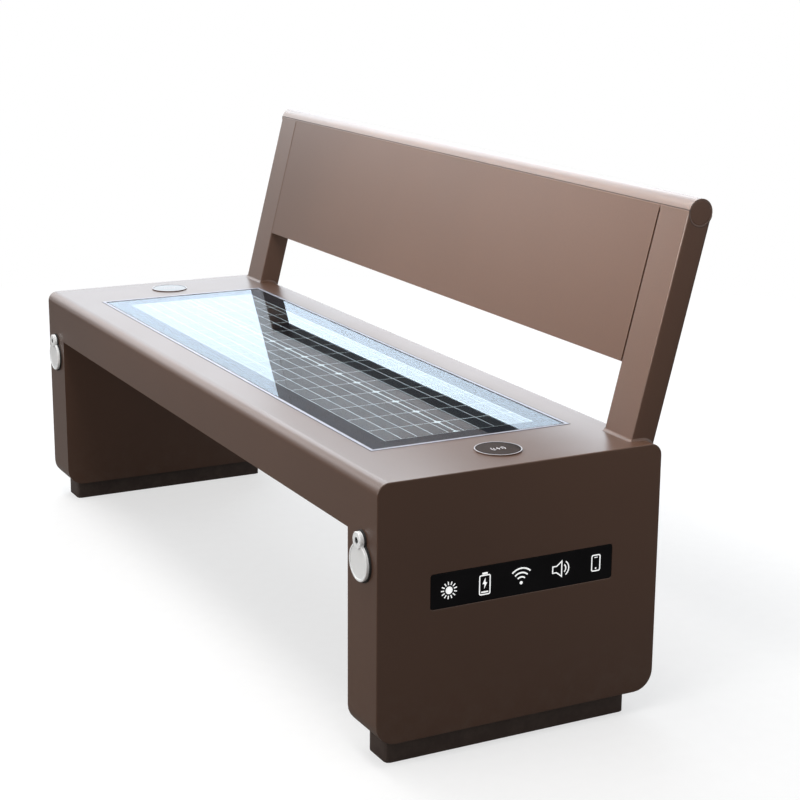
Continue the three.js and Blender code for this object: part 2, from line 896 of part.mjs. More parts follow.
// A round lead along a smooth route
function lead(points, steps) {
  const route = new THREE.CatmullRomCurve3(points.map(([x, y, z]) => new THREE.Vector3(x, y, z)));
  const section = circle(0, 0, leadRadius, leadSides);
  return new THREE.ExtrudeGeometry(section, { steps, extrudePath: route, bevelEnabled: false });
}

// Points of a lead's route, counted in lead diameters from a fixed place
function stepsFrom(x, y, z) {
  const step = 2 * leadRadius;
  return (dx, dy, dz) => [x + dx * step, y + dy * step, z + dz * step];
}

function panelLead() {
  const height = trayFloor + sealThickness - junctionBoxHeight / 2;
  const box = stepsFrom(junctionBoxOffset + junctionBoxLength / 2 + fit, middleY, height);
  const wall = stepsFrom(pedestalInside, middleY, height);
  const controller = stepsFrom(pedestalInside, middleY, controllerTop + fit);
  return lead([
    box(0, 0, 0),
    box(2.5, 0, 0),
    box(8.3, 3.7, -4.3),
    box(16, 9, -6.8),
    wall(-24, 12, -7.2),
    wall(-4, 11, -7.3),
    wall(2.3, 6.7, -11.3),
    controller(3.5, 2, 6.3),
    controller(3.5, 1, 2.3),
    controller(3.5, 1, 0),
  ], 28);
}

function batteryLead() {
  const rest = soffit + leadRadius + fit;
  const controller = stepsFrom(pedestalInside, middleY, controllerTop + fit);
  const rightWall = stepsFrom(pedestalInside, middleY, rest);
  const leftWall = stepsFrom(-pedestalInside, middleY, rest);
  const rightRun = stepsFrom(legSpaceHalf * runShare, middleY, rest);
  const leftRun = stepsFrom(-legSpaceHalf * runShare, middleY, rest);
  const terminal = stepsFrom(-pedestalMiddle + terminalAcross, middleY - terminalAlong, terminalTop + fit);
  const above = stepsFrom(-pedestalMiddle + terminalAcross, middleY - terminalAlong, rest);
  return lead([
    controller(2, -8.3, 0),
    controller(2, -8.3, 3.3),
    rightWall(2, -8.7, -3.7),
    rightWall(0.8, -10, 0.7),
    rightWall(-2.7, -12, 1.2),
    rightWall(-10.7, -16.7, 0.25),
    rightWall(-24, -19.7, 0.13),
    rightRun(0, -20, 0.07),
    leftRun(0, -20, 0.07),
    leftWall(17.3, -19.7, 0.13),
    leftWall(8.2, -17.3, 0.25),
    leftWall(2.7, -14.7, 1.3),
    leftWall(-0.5, -13, 1),
    leftWall(-2.7, -11.3, -2.7),
    above(0, 0, -6.7),
    terminal(0, 0, 4),
    terminal(0, 0, 0),
  ], 48);
}

// The body: seat, pedestals, end plates, plinths and covers
function addBody(bench) {
  addPiece(bench, 'seat_beam_shell', 'paint', seatBeamShell());
  addPiece(bench, 'soffit_cover', 'paint', soffitCover());
  const slot = rectangle(
    displayFrontInset, displayFrontInset + displayLength,
    displayZ - displayHeight / 2, displayZ + displayHeight / 2, displayCorner,
  );
  const endCutters = { left: [], right: [alongX(slot, -overrun, overrun)] };
  for (const { name, sign } of sides) {
    addPiece(bench, `pedestal_wrap_${name}`, 'paint', pedestalWrap(sign), sign * pedestalMiddle);
    addPiece(
      bench, `pedestal_inner_plate_${name}`, 'paint', pedestalInnerPlate(), sign * (legSpaceHalf + sheet / 2),
    );
    addPiece(
      bench, `end_plate_${name}`, 'paint', endPlate(endCutters[name]), sign * (halfLength - endSheet / 2),
    );
    addPiece(bench, `plinth_${name}`, 'darkPaint', plinth(), sign * socketX);
    addPiece(bench, `service_cover_${name}`, 'paint', serviceCover(), sign * pedestalMiddle);
    addPiece(
      bench, `speaker_${name}`, 'blackPlastic', speaker(),
      sign * (legSpaceHalf - speakerInset), middleY, soffit,
    );
  }
}

// The solar panel and what carries it
function addSolarPanel(bench) {
  ['left', 'centre', 'right'].forEach((name, i) => {
    addPiece(bench, `cross_channel_${name}`, 'plainSteel', crossChannel(), (i - 1) * channelPitch);
  });
  addPiece(bench, 'panel_tray', 'plainSteel', panelTray());
  addPiece(bench, 'panel_seal', 'rubber', panelSeal());
  addPiece(bench, 'panel_cell_sheet', 'cells', panelSheet(trayFloor + sealThickness, cellSheetThickness));
  addPiece(bench, 'panel_glass', 'glass', panelSheet(seatHeight - glassThickness, glassThickness));
  addPiece(bench, 'panel_trim_frame', 'silver', panelTrim());
  addPiece(bench, 'panel_junction_box', 'blackPlastic', junctionBox(), junctionBoxOffset);
}

// The charging pads on the seat, and the sockets with their covers on the pedestals' fronts
function addCharging(bench) {
  for (const { name, sign } of sides) {
    const padX = sign * (halfLength - padEndInset);
    addPiece(bench, `charge_pad_${name}`, 'blackPlastic', chargePad(), padX, middleY, seatHeight);
    addPiece(bench, `charge_pad_ring_${name}`, 'silver', chargePadRing(), padX, middleY, seatHeight);
    addPiece(bench, `charge_pad_nut_${name}`, 'blackPlastic', chargePadNut(), padX, middleY, seatHeight);
    const x = sign * socketX;
    addPiece(bench, `socket_base_plate_${name}`, 'rubber', socketBasePlate(), x, 0, socketZ);
    addPiece(bench, `charging_socket_${name}`, 'blackPlastic', chargingSocket(), x, 0, socketZ);
    addPiece(bench, `socket_lock_nut_${name}`, 'blackPlastic', socketLockNut(), x, 0, socketZ);
    addPiece(bench, `socket_cover_${name}`, 'whitePlastic', socketCover(), x, 0, pivotZ);
    addPiece(bench, `socket_pivot_screw_${name}`, 'plainSteel', socketPivotScrew(), x, 0, pivotZ);
  }
}

// The status display in the right end plate
function addDisplay(bench) {
  addPiece(bench, 'display_window', 'blackGlass', displayWindow(), endInside, displayY, displayZ);
  addPiece(bench, 'display_board', 'board', displayBoard(), endInside, displayY, displayZ);
}

// The backrest and its fixings
function addBackrest(bench) {
  const frame = backrestFrame();
  addPiece(frame, 'backrest_rail', 'paint', backrestRail());
  addPiece(frame, 'backrest_panel', 'paint', backrestPanel());
  for (const { name, sign } of sides) {
    addPiece(frame, `backrest_post_${name}`, 'paint', backrestPost(frame, sign * postMiddle));
    addPiece(
      frame, `rail_cap_${name}`, 'paint', railCap(),
      sign * (postOuter - railCapThickness / 2), railRadius, postRise,
    );
    addPiece(bench, `post_bracket_${name}`, 'plainSteel', postBracket(), sign * postMiddle);
    for (const row of sides) {
      addPiece(
        bench, `post_bolt_${name}_${row.sign < 0 ? 1 : 2}`, 'plainSteel', postBolt(),
        sign * postMiddle + (row.sign * boltSpacing) / 2, boltY, bracketTop - bracketSheet - fit,
      );
    }
  }
  bench.add(frame);
}

// Battery, electronics and the leads between them
function addElectrics(bench) {
  addPiece(bench, 'battery_pack', 'battery', batteryPack(), -pedestalMiddle, middleY, pedestalFloor);
  addPiece(bench, 'battery_strap', 'plainSteel', batteryStrap(), -pedestalMiddle, middleY, pedestalFloor);
  addPiece(
    bench, 'charge_controller', 'plainSteel', chargeController(),
    pedestalInside, middleY, pedestalFloor + controllerRise,
  );
  const moduleStep = (moduleLength + moduleGap) / 2;
  const moduleZ = pedestalFloor + moduleRise;
  addPiece(
    bench, 'audio_module', 'greyPlastic', boxedModule(3), pedestalInside, middleY - moduleStep, moduleZ,
  );
  addPiece(
    bench, 'network_module', 'greyPlastic', boxedModule(2), pedestalInside, middleY + moduleStep, moduleZ,
  );
  addPiece(bench, 'panel_lead', 'rubber', panelLead());
  addPiece(bench, 'battery_lead', 'rubber', batteryLead());
}

const bench = new THREE.Group();
addBody(bench);
addSolarPanel(bench);
addCharging(bench);
addDisplay(bench);
addBackrest(bench);
addElectrics(bench);
bench.position.y = (frontReach - rearReach) / 2;

export default bench;
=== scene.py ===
"""Solar charging bench: finishes, signs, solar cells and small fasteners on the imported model."""

import math

import bmesh
import bpy
from mathutils import Matrix, Vector


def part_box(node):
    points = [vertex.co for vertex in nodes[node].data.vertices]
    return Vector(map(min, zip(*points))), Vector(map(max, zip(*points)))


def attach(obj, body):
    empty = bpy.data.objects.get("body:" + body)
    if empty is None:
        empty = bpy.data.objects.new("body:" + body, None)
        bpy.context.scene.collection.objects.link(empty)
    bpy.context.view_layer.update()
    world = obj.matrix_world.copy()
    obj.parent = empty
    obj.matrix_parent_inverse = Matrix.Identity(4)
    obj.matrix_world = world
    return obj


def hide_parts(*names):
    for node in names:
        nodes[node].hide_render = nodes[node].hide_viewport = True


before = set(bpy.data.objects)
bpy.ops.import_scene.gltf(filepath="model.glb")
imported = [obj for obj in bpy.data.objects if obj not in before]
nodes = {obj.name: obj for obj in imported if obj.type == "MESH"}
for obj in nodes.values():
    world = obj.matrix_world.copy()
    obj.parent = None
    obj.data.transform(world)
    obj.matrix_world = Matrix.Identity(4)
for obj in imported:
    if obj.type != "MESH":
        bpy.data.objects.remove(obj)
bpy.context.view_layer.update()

# Units, sides and places that follow the frame

MM = 0.001
BENCH = "bench"
SIDES = {"left": -1, "right": 1}
front_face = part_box("end_plate_right")[0].y


def place(x, y, z):
    """A point given in millimetres, with Y counted back from the body's front face."""
    return Vector((x * MM, front_face + y * MM, z * MM))


def flat_limits(name):
    """A node's left, right, front and rear limits, in the millimetres that place takes."""
    low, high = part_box(name)
    return low.x / MM, high.x / MM, (low.y - front_face) / MM, (high.y - front_face) / MM


# Camera at the photograph's angle

CAMERA_AZIMUTH = math.radians(62.303)
CAMERA_ELEVATION = math.radians(14.552)
CAMERA_ROLL = math.radians(0.418)
CAMERA_TARGET = Vector((-0.1394, 0.2341, 0.3048))
CAMERA_DISTANCE = 3.7776
CAMERA_LENS = 83.23
CAMERA_SENSOR = 36.0


def link_object(name, data):
    """A new object in the scene."""
    item = bpy.data.objects.new(name, data)
    bpy.context.scene.collection.objects.link(item)
    return item


def add_camera():
    back = Vector((
        math.sin(CAMERA_AZIMUTH) * math.cos(CAMERA_ELEVATION),
        -math.cos(CAMERA_AZIMUTH) * math.cos(CAMERA_ELEVATION),
        math.sin(CAMERA_ELEVATION),
    ))
    right = (-back).cross(Vector((0, 0, 1))).normalized()
    up = back.cross(right)
    turned_right = math.cos(CAMERA_ROLL) * right + math.sin(CAMERA_ROLL) * up
    turned_up = math.cos(CAMERA_ROLL) * up - math.sin(CAMERA_ROLL) * right
    data = bpy.data.cameras.new("camera")
    data.sensor_width = CAMERA_SENSOR
    data.lens = CAMERA_LENS
    camera = link_object("camera", data)
    turn = Matrix((turned_right, turned_up, back)).transposed().to_4x4()
    camera.matrix_world = Matrix.Translation(CAMERA_TARGET + back * CAMERA_DISTANCE) @ turn
    bpy.context.scene.camera = camera


# Lamps

def add_softbox(name, stand, aim, width, height, radiance, color, spread=180):
    """A rectangular lamp, its power given by how bright its face is."""
    data = bpy.data.lights.new(name, "AREA")
    data.shape = "RECTANGLE"
    data.size = width
    data.size_y = height
    data.energy = radiance * math.pi * width * height
    data.color = color
    data.spread = math.radians(spread)
    lamp = link_object(name, data)
    lamp.location = stand
    lamp.rotation_euler = (Vector(aim) - Vector(stand)).to_track_quat("-Z", "Y").to_euler()
    lamp.visible_camera = False


def add_lamps():
    """Warm light from above and in front, and three patches of pale sky to the bench's left."""
    add_softbox("key", (0.3, -0.42, 1.9), (0.25, 0.2, 0.6), 2.5, 0.6, 4.8, (1.0, 0.985, 0.96))
    add_softbox("front", (0.7, -1.9, 1.0), (0.2, 0.0, 0.5), 2.0, 0.8, 2.3, (1.0, 0.98, 0.94))
    add_softbox("panel", (0.6, -0.9, 1.15), (0.35, 0.25, 0.7), 1.8, 0.3, 2.8, (1.0, 0.98, 0.95), 55)
    add_softbox("rear_sky", (-3.5, 2.1, 1.6), (0.0, 0.0, 0.5), 4.4, 2.2, 1.95, (0.82, 0.91, 1.0))
    add_softbox("left_sky", (-3.4, -1.25, 1.9), (0.0, 0.0, 0.6), 2.8, 1.5, 2.5, (0.98, 0.98, 1.0))
    add_softbox("high_sky", (-2.7, 0.9, 2.6), (0.0, 0.1, 0.6), 2.8, 1.3, 3.9, (0.88, 0.94, 1.0))


def spare_from_lamp(lamp_name, pieces):
    """Light linking: the named lamp leaves these pieces out."""
    spared = bpy.data.collections.new(f"spared_by_{lamp_name}")
    for piece in pieces:
        spared.objects.link(piece)
    for member in spared.collection_objects:
        member.light_linking.link_state = "EXCLUDE"
    bpy.data.objects[lamp_name].light_linking.receiver_collection = spared


# Node helpers

def rgb(r, g, b):
    return (r, g, b, 1.0)


class Tree:
    """A node tree with short calls for the nodes used here."""

    def __init__(self, tree):
        self.tree = tree
        self.tree.nodes.clear()

    def add(self, kind, inputs=None, **settings):
        node = self.tree.nodes.new(kind)
        for key, value in settings.items():
            setattr(node, key, value)
        for key, value in (inputs or {}).items():
            self.put(node.inputs[key], value)
        return node

    def put(self, socket, value):
        if isinstance(value, bpy.types.NodeSocket):
            self.tree.links.new(value, socket)
        else:
            socket.default_value = value

    def math(self, operation, a, b=0.0, clamp=False):
        node = self.add("ShaderNodeMath", {0: a, 1: b}, operation=operation, use_clamp=clamp)
        return node.outputs[0]

    def line(self, value, gain, offset, clamp=False):
        """The value times gain, plus offset."""
        return self.math("ADD", self.math("MULTIPLY", value, gain), offset, clamp)

    def ramp(self, value, low, high, to_low=0.0, to_high=1.0):
        """Maps low..high to to_low..to_high, held at the ends."""
        node = self.add("ShaderNodeMapRange", {
            "Value": value, "From Min": low, "From Max": high, "To Min": to_low, "To Max": to_high,
        })
        return node.outputs[0]

    def noise(self, vector, scale, detail=2.0, roughness=0.5):
        node = self.add("ShaderNodeTexNoise", {
            "Vector": vector, "Scale": scale, "Detail": detail, "Roughness": roughness,
        })
        return node.outputs[0]

    def vector(self, operation, a, b=(0, 0, 0)):
        return self.add("ShaderNodeVectorMath", {0: a, 1: b}, operation=operation).outputs

    def scaled(self, color, factor):
        return self.add("ShaderNodeVectorMath", {0: color, "Scale": factor}, operation="SCALE").outputs[0]

    def mix(self, factor, a, b):
        node = self.add("ShaderNodeMix", {0: factor, 6: a, 7: b}, data_type="RGBA")
        return node.outputs[2]

    def blend(self, share, a, b):
        """Shader a, with the share of shader b over it."""
        return self.add("ShaderNodeMixShader", {0: share, 1: a, 2: b}).outputs[0]

    def bump(self, height, distance, strength=1.0):
        node = self.add("ShaderNodeBump", {
            "Height": height, "Distance": distance, "Strength": strength,
        })
        return node.outputs[0]

    def object_point(self):
        return self.add("ShaderNodeTexCoord").outputs["Object"]

    def split(self, vector):
        return self.add("ShaderNodeSeparateXYZ", {0: vector}).outputs

    def mirror_share(self, gain, least):
        """A mirror's share: small from above, and rising steeply towards a low angle."""
        facing = self.add("ShaderNodeLayerWeight", {"Blend": 0.5}).outputs["Facing"]
        return self.line(self.math("POWER", facing, 5.0), gain, least, clamp=True)

    def mirror(self, color, roughness):
        inputs = {"Color": color, "Roughness": roughness}
        return self.add("ShaderNodeBsdfAnisotropic", inputs).outputs[0]

    def principled(self, color, roughness, metallic=0.0, normal=None, **more):
        inputs = {"Base Color": color, "Roughness": roughness, "Metallic": metallic}
        inputs.update({key.replace("_", " "): value for key, value in more.items()})
        if normal is not None:
            inputs["Normal"] = normal
        return self.add("ShaderNodeBsdfPrincipled", inputs).outputs[0]

    def finish(self, shader):
        out = self.add("ShaderNodeOutputMaterial")
        self.tree.links.new(shader, out.inputs["Surface"])


def new_material(name):
    material = bpy.data.materials.new(name)
    material.use_nodes = True
    return material, Tree(material.node_tree)


# Materials

DUST = rgb(0.16, 0.125, 0.1)


def powder_coat(name, dark, light, roughness, shine=0.5):
    """Semi-gloss powder coat: slow tone changes, orange peel, a little dust low down."""
    material, t = new_material(name)
    point = t.object_point()
    tone = t.ramp(t.noise(point, 2.1, 3.0), 0.32, 0.68)
    speck = t.ramp(t.noise(point, 1400.0, 1.0), 0.3, 0.7, 0.9, 1.08)
    color = t.scaled(t.mix(tone, dark, light), speck)
    gloss = t.line(t.noise(point, 5.0, 2.0), 0.06, roughness - 0.03)
    low = t.ramp(t.split(point)[2], 0.03, 0.16, 1.0, 0.0)
    splash = t.math("MULTIPLY", low, t.ramp(t.noise(point, 34.0, 5.0, 0.7), 0.42, 0.75))
    color = t.mix(t.math("MULTIPLY", splash, 0.22), color, DUST)
    peel = t.math("ADD", t.noise(point, 420.0, 1.0), t.noise(point, 1500.0, 1.0))
    t.finish(t.principled(color, gloss, normal=t.bump(peel, 0.00004, 0.6), Specular_IOR_Level=shine))
    return material


def plated_steel(name, color, roughness, streak=1.0, metallic=1.0):
    """Zinc-plated or bare steel: fine streaks and cloudy patches."""
    material, t = new_material(name)
    point = t.object_point()
    stretched = t.add("ShaderNodeMapping", {0: point, "Scale": (6.0, 160.0, 160.0)}).outputs[0]
    streaks = t.noise(stretched, 5.0, 3.0)
    patches = t.ramp(t.noise(point, 26.0, 4.0, 0.65), 0.3, 0.72)
    darker = rgb(*(c * 0.72 for c in color[:3]))
    tint = t.mix(patches, darker, color)
    gloss = t.line(streaks, 0.22 * streak, roughness - 0.08)
    t.finish(t.principled(tint, gloss, metallic, normal=t.bump(streaks, 0.00003, 0.5)))
    return material


def moulded_plastic(name, color, roughness, grain=900.0, depth=0.00003, shine=0.5):
    """Moulded plastic or rubber: fine grain, slight tone and gloss changes."""
    material, t = new_material(name)
    point = t.object_point()
    patches = t.ramp(t.noise(point, 18.0, 3.0), 0.3, 0.7)
    paler = rgb(*(min(1.0, c * 1.12 + 0.003) for c in color[:3]))
    tint = t.mix(patches, color, paler)
    gloss = t.line(t.noise(point, 45.0, 4.0, 0.6), 0.12, roughness - 0.06)
    fine = t.bump(t.noise(point, grain, 2.0), depth, 0.6)
    t.finish(t.principled(tint, gloss, normal=fine, Specular_IOR_Level=shine))
    return material


PAD_GROOVES = (20.5 * MM, 31.0 * MM)
GROOVE_HALF_WIDTH = 0.6 * MM
# Width of the dark line of painted shade between a pad's disc and its ring
PAD_JOINT_SHADE = 0.7 * MM
PAD_LIP = 2.1 * MM


def from_centre(t, centre):
    """Distance from a pad's middle, seen from above."""
    away = t.vector("SUBTRACT", t.object_point(), centre)[0]
    flat = t.vector("MULTIPLY", away, (1, 1, 0))[0]
    return t.vector("LENGTH", flat)["Value"]


def charge_disc(name, centre):
    """Black pad plastic with a fine grain and two ring grooves round the pad's middle."""
    material, t = new_material(name)
    point = t.object_point()
    radius = from_centre(t, centre)
    grooves = None
    for ring in PAD_GROOVES:
        off = t.math("ABSOLUTE", t.math("SUBTRACT", radius, ring))
        groove = t.ramp(off, 0.0, GROOVE_HALF_WIDTH, 1.0, 0.0)
        grooves = groove if grooves is None else t.math("MAXIMUM", grooves, groove)
    tint = t.mix(grooves, rgb(0.012, 0.012, 0.013), rgb(0.04, 0.039, 0.042))
    grain = t.math("SUBTRACT", t.math("MULTIPLY", t.noise(point, 1100.0, 1.0), 0.3), grooves)
    gloss = t.line(t.noise(point, 40.0, 3.0), 0.06, 0.06)
    t.finish(t.principled(tint, gloss, normal=t.bump(grain, 0.00001, 0.7), Specular_IOR_Level=0.24))
    return material


def pad_ring(name, centre, pad_radius):
    """Pad ring: a dark line of painted shade in the joint beside the disc, pale bright lip, and a flange
    painted like the seat.
    """
    material, t = new_material(name)
    radius = from_centre(t, centre)
    smears = t.noise(t.object_point(), 60.0, 3.0)
    lip = t.mix(smears, rgb(0.46, 0.47, 0.52), rgb(0.6, 0.61, 0.66))
    tint = t.mix(t.math("GREATER_THAN", radius, pad_radius + PAD_LIP), lip, PAINT_DARK)
    # Painted shade: near black where the ring meets the disc.
    tint = t.mix(t.math("LESS_THAN", radius, pad_radius + PAD_JOINT_SHADE), tint, rgb(0.01, 0.01, 0.012))
    t.finish(t.principled(tint, t.line(smears, 0.1, 0.28), Specular_IOR_Level=0.4))
    return material


def clear_glass(name):
    """Toughened cover glass: clear from above, a mirror at a low angle."""
    material, t = new_material(name)
    film = t.noise(t.object_point(), 7.0, 4.0, 0.65)
    clear = t.add("ShaderNodeBsdfTransparent", {"Color": rgb(0.94, 0.975, 0.985)}).outputs[0]
    mirror = t.mirror(rgb(0.84, 0.91, 1.0), t.line(film, 0.02, 0.005))
    t.finish(t.blend(t.mirror_share(0.56, 0.006), clear, mirror))
    return material


FINGER_PITCH = 1.6 * MM
FINGER_SHARE = 0.09


def solar_cell(name, pitch, origin, row_line):
    """Silicon cell: a tone of its own for each cell, crystal sparkle and fine printed fingers."""
    material, t = new_material(name)
    point = t.object_point()
    x, y, _ = t.split(point)
    column = t.math("FLOOR", t.math("DIVIDE", t.math("SUBTRACT", x, origin), pitch))
    row = t.math("GREATER_THAN", y, row_line)
    key = t.add("ShaderNodeCombineXYZ", {0: column, 1: row, 2: 0.37}).outputs[0]
    own = t.add("ShaderNodeTexWhiteNoise", {"Vector": key}).outputs["Value"]
    tone = t.mix(own, rgb(0.010, 0.015, 0.022), rgb(0.018, 0.024, 0.034))
    tone = t.scaled(tone, t.ramp(t.noise(point, 260.0, 3.0), 0.35, 0.7, 0.9, 1.12))
    finger = t.math("LESS_THAN", t.math("FRACT", t.math("DIVIDE", x, FINGER_PITCH)), FINGER_SHARE)
    color = t.mix(t.math("MULTIPLY", finger, 0.3), tone, rgb(0.5, 0.51, 0.52))
    matt = t.principled(color, 0.45, Specular_IOR_Level=0.0)
    tint = t.mix(own, rgb(0.64, 0.665, 0.69), rgb(0.7, 0.725, 0.75))
    mirror = t.mirror(tint, t.ramp(t.noise(point, 60.0, 2.0), 0.3, 0.7, 0.004, 0.012))
    t.finish(t.blend(t.mirror_share(2.6, 0.01), matt, mirror))
    return material


def printed_sheet(name, color, paler, roughness=0.45):
    """A printed or laminated layer, with faint unevenness."""
    material, t = new_material(name)
    point = t.object_point()
    tone = t.ramp(t.noise(point, 30.0, 4.0), 0.3, 0.7)
    fine = t.bump(t.noise(point, 500.0, 1.0), 0.00002, 0.4)
    t.finish(t.principled(t.mix(tone, color, paler), roughness, normal=fine, Specular_IOR_Level=0.0))
    return material


def sign_light(name):
    """Pale diffuser of a lit sign, slightly uneven where its lamp sits."""
    material, t = new_material(name)
    glow = t.ramp(t.noise(t.object_point(), 120.0, 2.0), 0.3, 0.7, 0.82, 1.0)
    color = t.scaled((0.93, 0.95, 0.95), glow)
    t.finish(t.principled(color, 0.35, Emission_Strength=0.75, Emission_Color=color))
    return material


def circuit_board(name):
    """Green board with pale copper tracks."""
    material, t = new_material(name)
    point = t.object_point()
    cells = t.add("ShaderNodeTexVoronoi", {"Vector": point, "Scale": 260.0}, distance="MANHATTAN")
    copper = t.ramp(cells.outputs["Distance"], 0.16, 0.22, 1.0, 0.0)
    tone = t.mix(t.noise(point, 60.0), rgb(0.015, 0.075, 0.03), rgb(0.03, 0.12, 0.05))
    t.finish(t.principled(t.mix(copper, tone, rgb(0.5, 0.38, 0.14)), 0.4))
    return material


# World and floor: both are dimmer on the bench's right, where the photograph is in shade

WHITE = rgb(1, 1, 1)
WORLD_TONE = rgb(0.97, 0.98, 1.0)
WORLD_SHADE = 0.27
WORLD_LIT = 0.6
FLOOR_TONE = rgb(0.22, 0.2, 0.185)
FLOOR_HALF = 9.0
MIRRORED_LEFT = 0.06
MIRRORED_RIGHT = 0.03


def add_world():
    """White where it is seen or mirrored; elsewhere it lights the bench at a low level."""
    world = bpy.data.worlds.new("studio")
    bpy.context.scene.world = world
    world.use_nodes = True
    t = Tree(world.node_tree)
    path = t.add("ShaderNodeLightPath").outputs
    seen = t.math("MAXIMUM", path["Is Camera Ray"], path["Is Glossy Ray"])
    seen = t.math("MAXIMUM", seen, path["Is Transmission Ray"])
    x, _, z = t.split(t.add("ShaderNodeTexCoord").outputs["Generated"])
    lean = t.math("SUBTRACT", t.math("MULTIPLY", z, 0.9), t.math("MULTIPLY", x, 0.6))
    level = t.ramp(lean, -0.5, 1.0, WORLD_SHADE, WORLD_LIT)
    dim = t.add("ShaderNodeBackground", {"Color": WORLD_TONE, "Strength": level}).outputs[0]
    white = t.add("ShaderNodeBackground", {"Color": WHITE, "Strength": 1.0}).outputs[0]
    out = t.add("ShaderNodeOutputWorld")
    t.put(out.inputs["Surface"], t.blend(seen, dim, white))


def floor_material():
    """Pale floor: white to the camera, with the shadow kept near the bench."""
    material, t = new_material("floor")
    point = t.object_point()
    away = t.vector("LENGTH", point)["Value"]
    path = t.add("ShaderNodeLightPath").outputs
    seen = t.math("MAXIMUM", path["Is Camera Ray"], path["Is Transmission Ray"])
    mirrored = t.ramp(t.split(point)[0], -0.6, 1.0, MIRRORED_LEFT, MIRRORED_RIGHT)
    seen = t.math("MAXIMUM", seen, t.math("MULTIPLY", path["Is Glossy Ray"], mirrored))
    tone = t.scaled((1.0, 1.0, 1.0), t.ramp(t.noise(point, 35.0, 4.0), 0.3, 0.7, 0.97, 1.0))
    grey = t.add("ShaderNodeBsdfDiffuse", {"Color": FLOOR_TONE}).outputs[0]
    pale = t.add("ShaderNodeBsdfDiffuse", {"Color": tone}).outputs[0]
    white = t.add("ShaderNodeEmission", {"Color": WHITE, "Strength": 1.0}).outputs[0]
    open_floor = t.blend(t.ramp(away, 1.0, 3.2, 0.62, 1.0), pale, white)
    t.finish(t.blend(seen, grey, open_floor))
    return material


def add_floor():
    bm = bmesh.new()
    corners = ((-1, -1), (1, -1), (1, 1), (-1, 1))
    bm.faces.new([bm.verts.new((x * FLOOR_HALF, y * FLOOR_HALF, 0.0)) for x, y in corners])
    mesh = bpy.data.meshes.new("floor")
    bm.to_mesh(mesh)
    bm.free()
    mesh.materials.append(floor_material())
    floor = link_object("floor", mesh)


# Mesh helpers

def make_piece(name, bm, material, slot, body=BENCH, replaces=(), smooth_angle=None):
    """An object from a bmesh, which rides on its body."""
    bmesh.ops.recalc_face_normals(bm, faces=bm.faces)
    mesh = bpy.data.meshes.new(name)
    bm.to_mesh(mesh)
    bm.free()
    mesh.materials.append(material)
    if smooth_angle is not None:
        mesh.shade_smooth()
        mesh.set_sharp_from_angle(angle=math.radians(smooth_angle))
    piece = link_object(name, mesh)
    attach(piece, body)
    if replaces:
        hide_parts(*replaces)
    return piece


def join_rings(bm, rings):
    """A closed skin over rings of vertices, all with the same count."""
    bm.faces.new(rings[0][::-1])
    bm.faces.new(rings[-1])
    count = len(rings[0])
    for low, high in zip(rings, rings[1:]):
        for k in range(count):
            j = (k + 1) % count
            bm.faces.new((low[k], low[j], high[j], high[k]))


def add_prism(bm, corners, to_low, to_high):
    """A closed prism over a flat outline; the two calls turn a corner into its two points."""
    join_rings(bm, [[bm.verts.new(turn(*corner)) for corner in corners] for turn in (to_low, to_high)])


def add_flat(bm, corners, z0, z1):
    """A prism over an outline in X and Y, in millimetres."""
    add_prism(bm, corners, lambda x, y: place(x, y, z0), lambda x, y: place(x, y, z1))


def make_flat_piece(name, outlines, z0, z1, material, slot, **more):
    """A piece of flat prisms of one height."""
    bm = bmesh.new()
    for outline in outlines:
        add_flat(bm, outline, z0, z1)
    return make_piece(name, bm, material, slot, **more)


def rectangle(x0, x1, y0, y1):
    return [(x0, y0), (x1, y0), (x1, y1), (x0, y1)]


def grown(limits, by):
    """Limits moved out on all four sides, or in where by is below zero."""
    x0, x1, y0, y1 = limits
    return x0 - by, x1 + by, y0 - by, y1 + by


def frame_strips(outer, inner):
    """Rectangles that fill the space between two nested rectangles, each as x0, x1, y0, y1."""
    left, right, front, rear = outer
    x0, x1, y0, y1 = inner
    return [rectangle(left, x0, front, rear), rectangle(x1, right, front, rear),
            rectangle(x0, x1, front, y0), rectangle(x0, x1, y1, rear)]


def arc(cx, cy, radius, start, end, steps):
    """Points of an arc, its angles in degrees from the first axis."""
    angles = [math.radians(start + (end - start) * k / steps) for k in range(steps + 1)]
    return [(cx + radius * math.cos(a), cy + radius * math.sin(a)) for a in angles]


def disc(cx, cy, radius, steps):
    """Points of a full circle, without a second copy of the first."""
    return arc(cx, cy, radius, 0, 360, steps)[:-1]


def rounded(x0, x1, y0, y1, radius, steps=4):
    """A rectangle with round corners."""
    points = []
    for cx, cy, start in (
        (x1 - radius, y0 + radius, -90), (x1 - radius, y1 - radius, 0),
        (x0 + radius, y1 - radius, 90), (x0 + radius, y0 + radius, 180),
    ):
        points += arc(cx, cy, radius, start, start + 90, steps)
    return points


MITRE_LIMIT = 0.35


def stroke(points, width, closed=False):
    """Quads of a line of the given width along the points."""
    count = len(points)
    sides = []
    for i, (x, y) in enumerate(points):
        before = points[i - 1] if closed or i else points[i]
        after = points[(i + 1) % count] if closed or i < count - 1 else points[i]
        first = Vector((x - before[0], y - before[1]))
        second = Vector((after[0] - x, after[1] - y))
        first = first.normalized() if first.length else second.normalized()
        second = second.normalized() if second.length else first
        across = Vector((-(first + second).y, (first + second).x)).normalized()
        reach = width / 2 / max(MITRE_LIMIT, across.dot(Vector((-first.y, first.x))))
        sides.append(((x + across.x * reach, y + across.y * reach),
                      (x - across.x * reach, y - across.y * reach)))
    pairs = range(count if closed else count - 1)
    return [[sides[i][0], sides[i][1], sides[(i + 1) % count][1], sides[(i + 1) % count][0]]
            for i in pairs]


SCREW_SMOOTH = 35
BEAD_SMOOTH = 60
SCREW_SIDES = 24
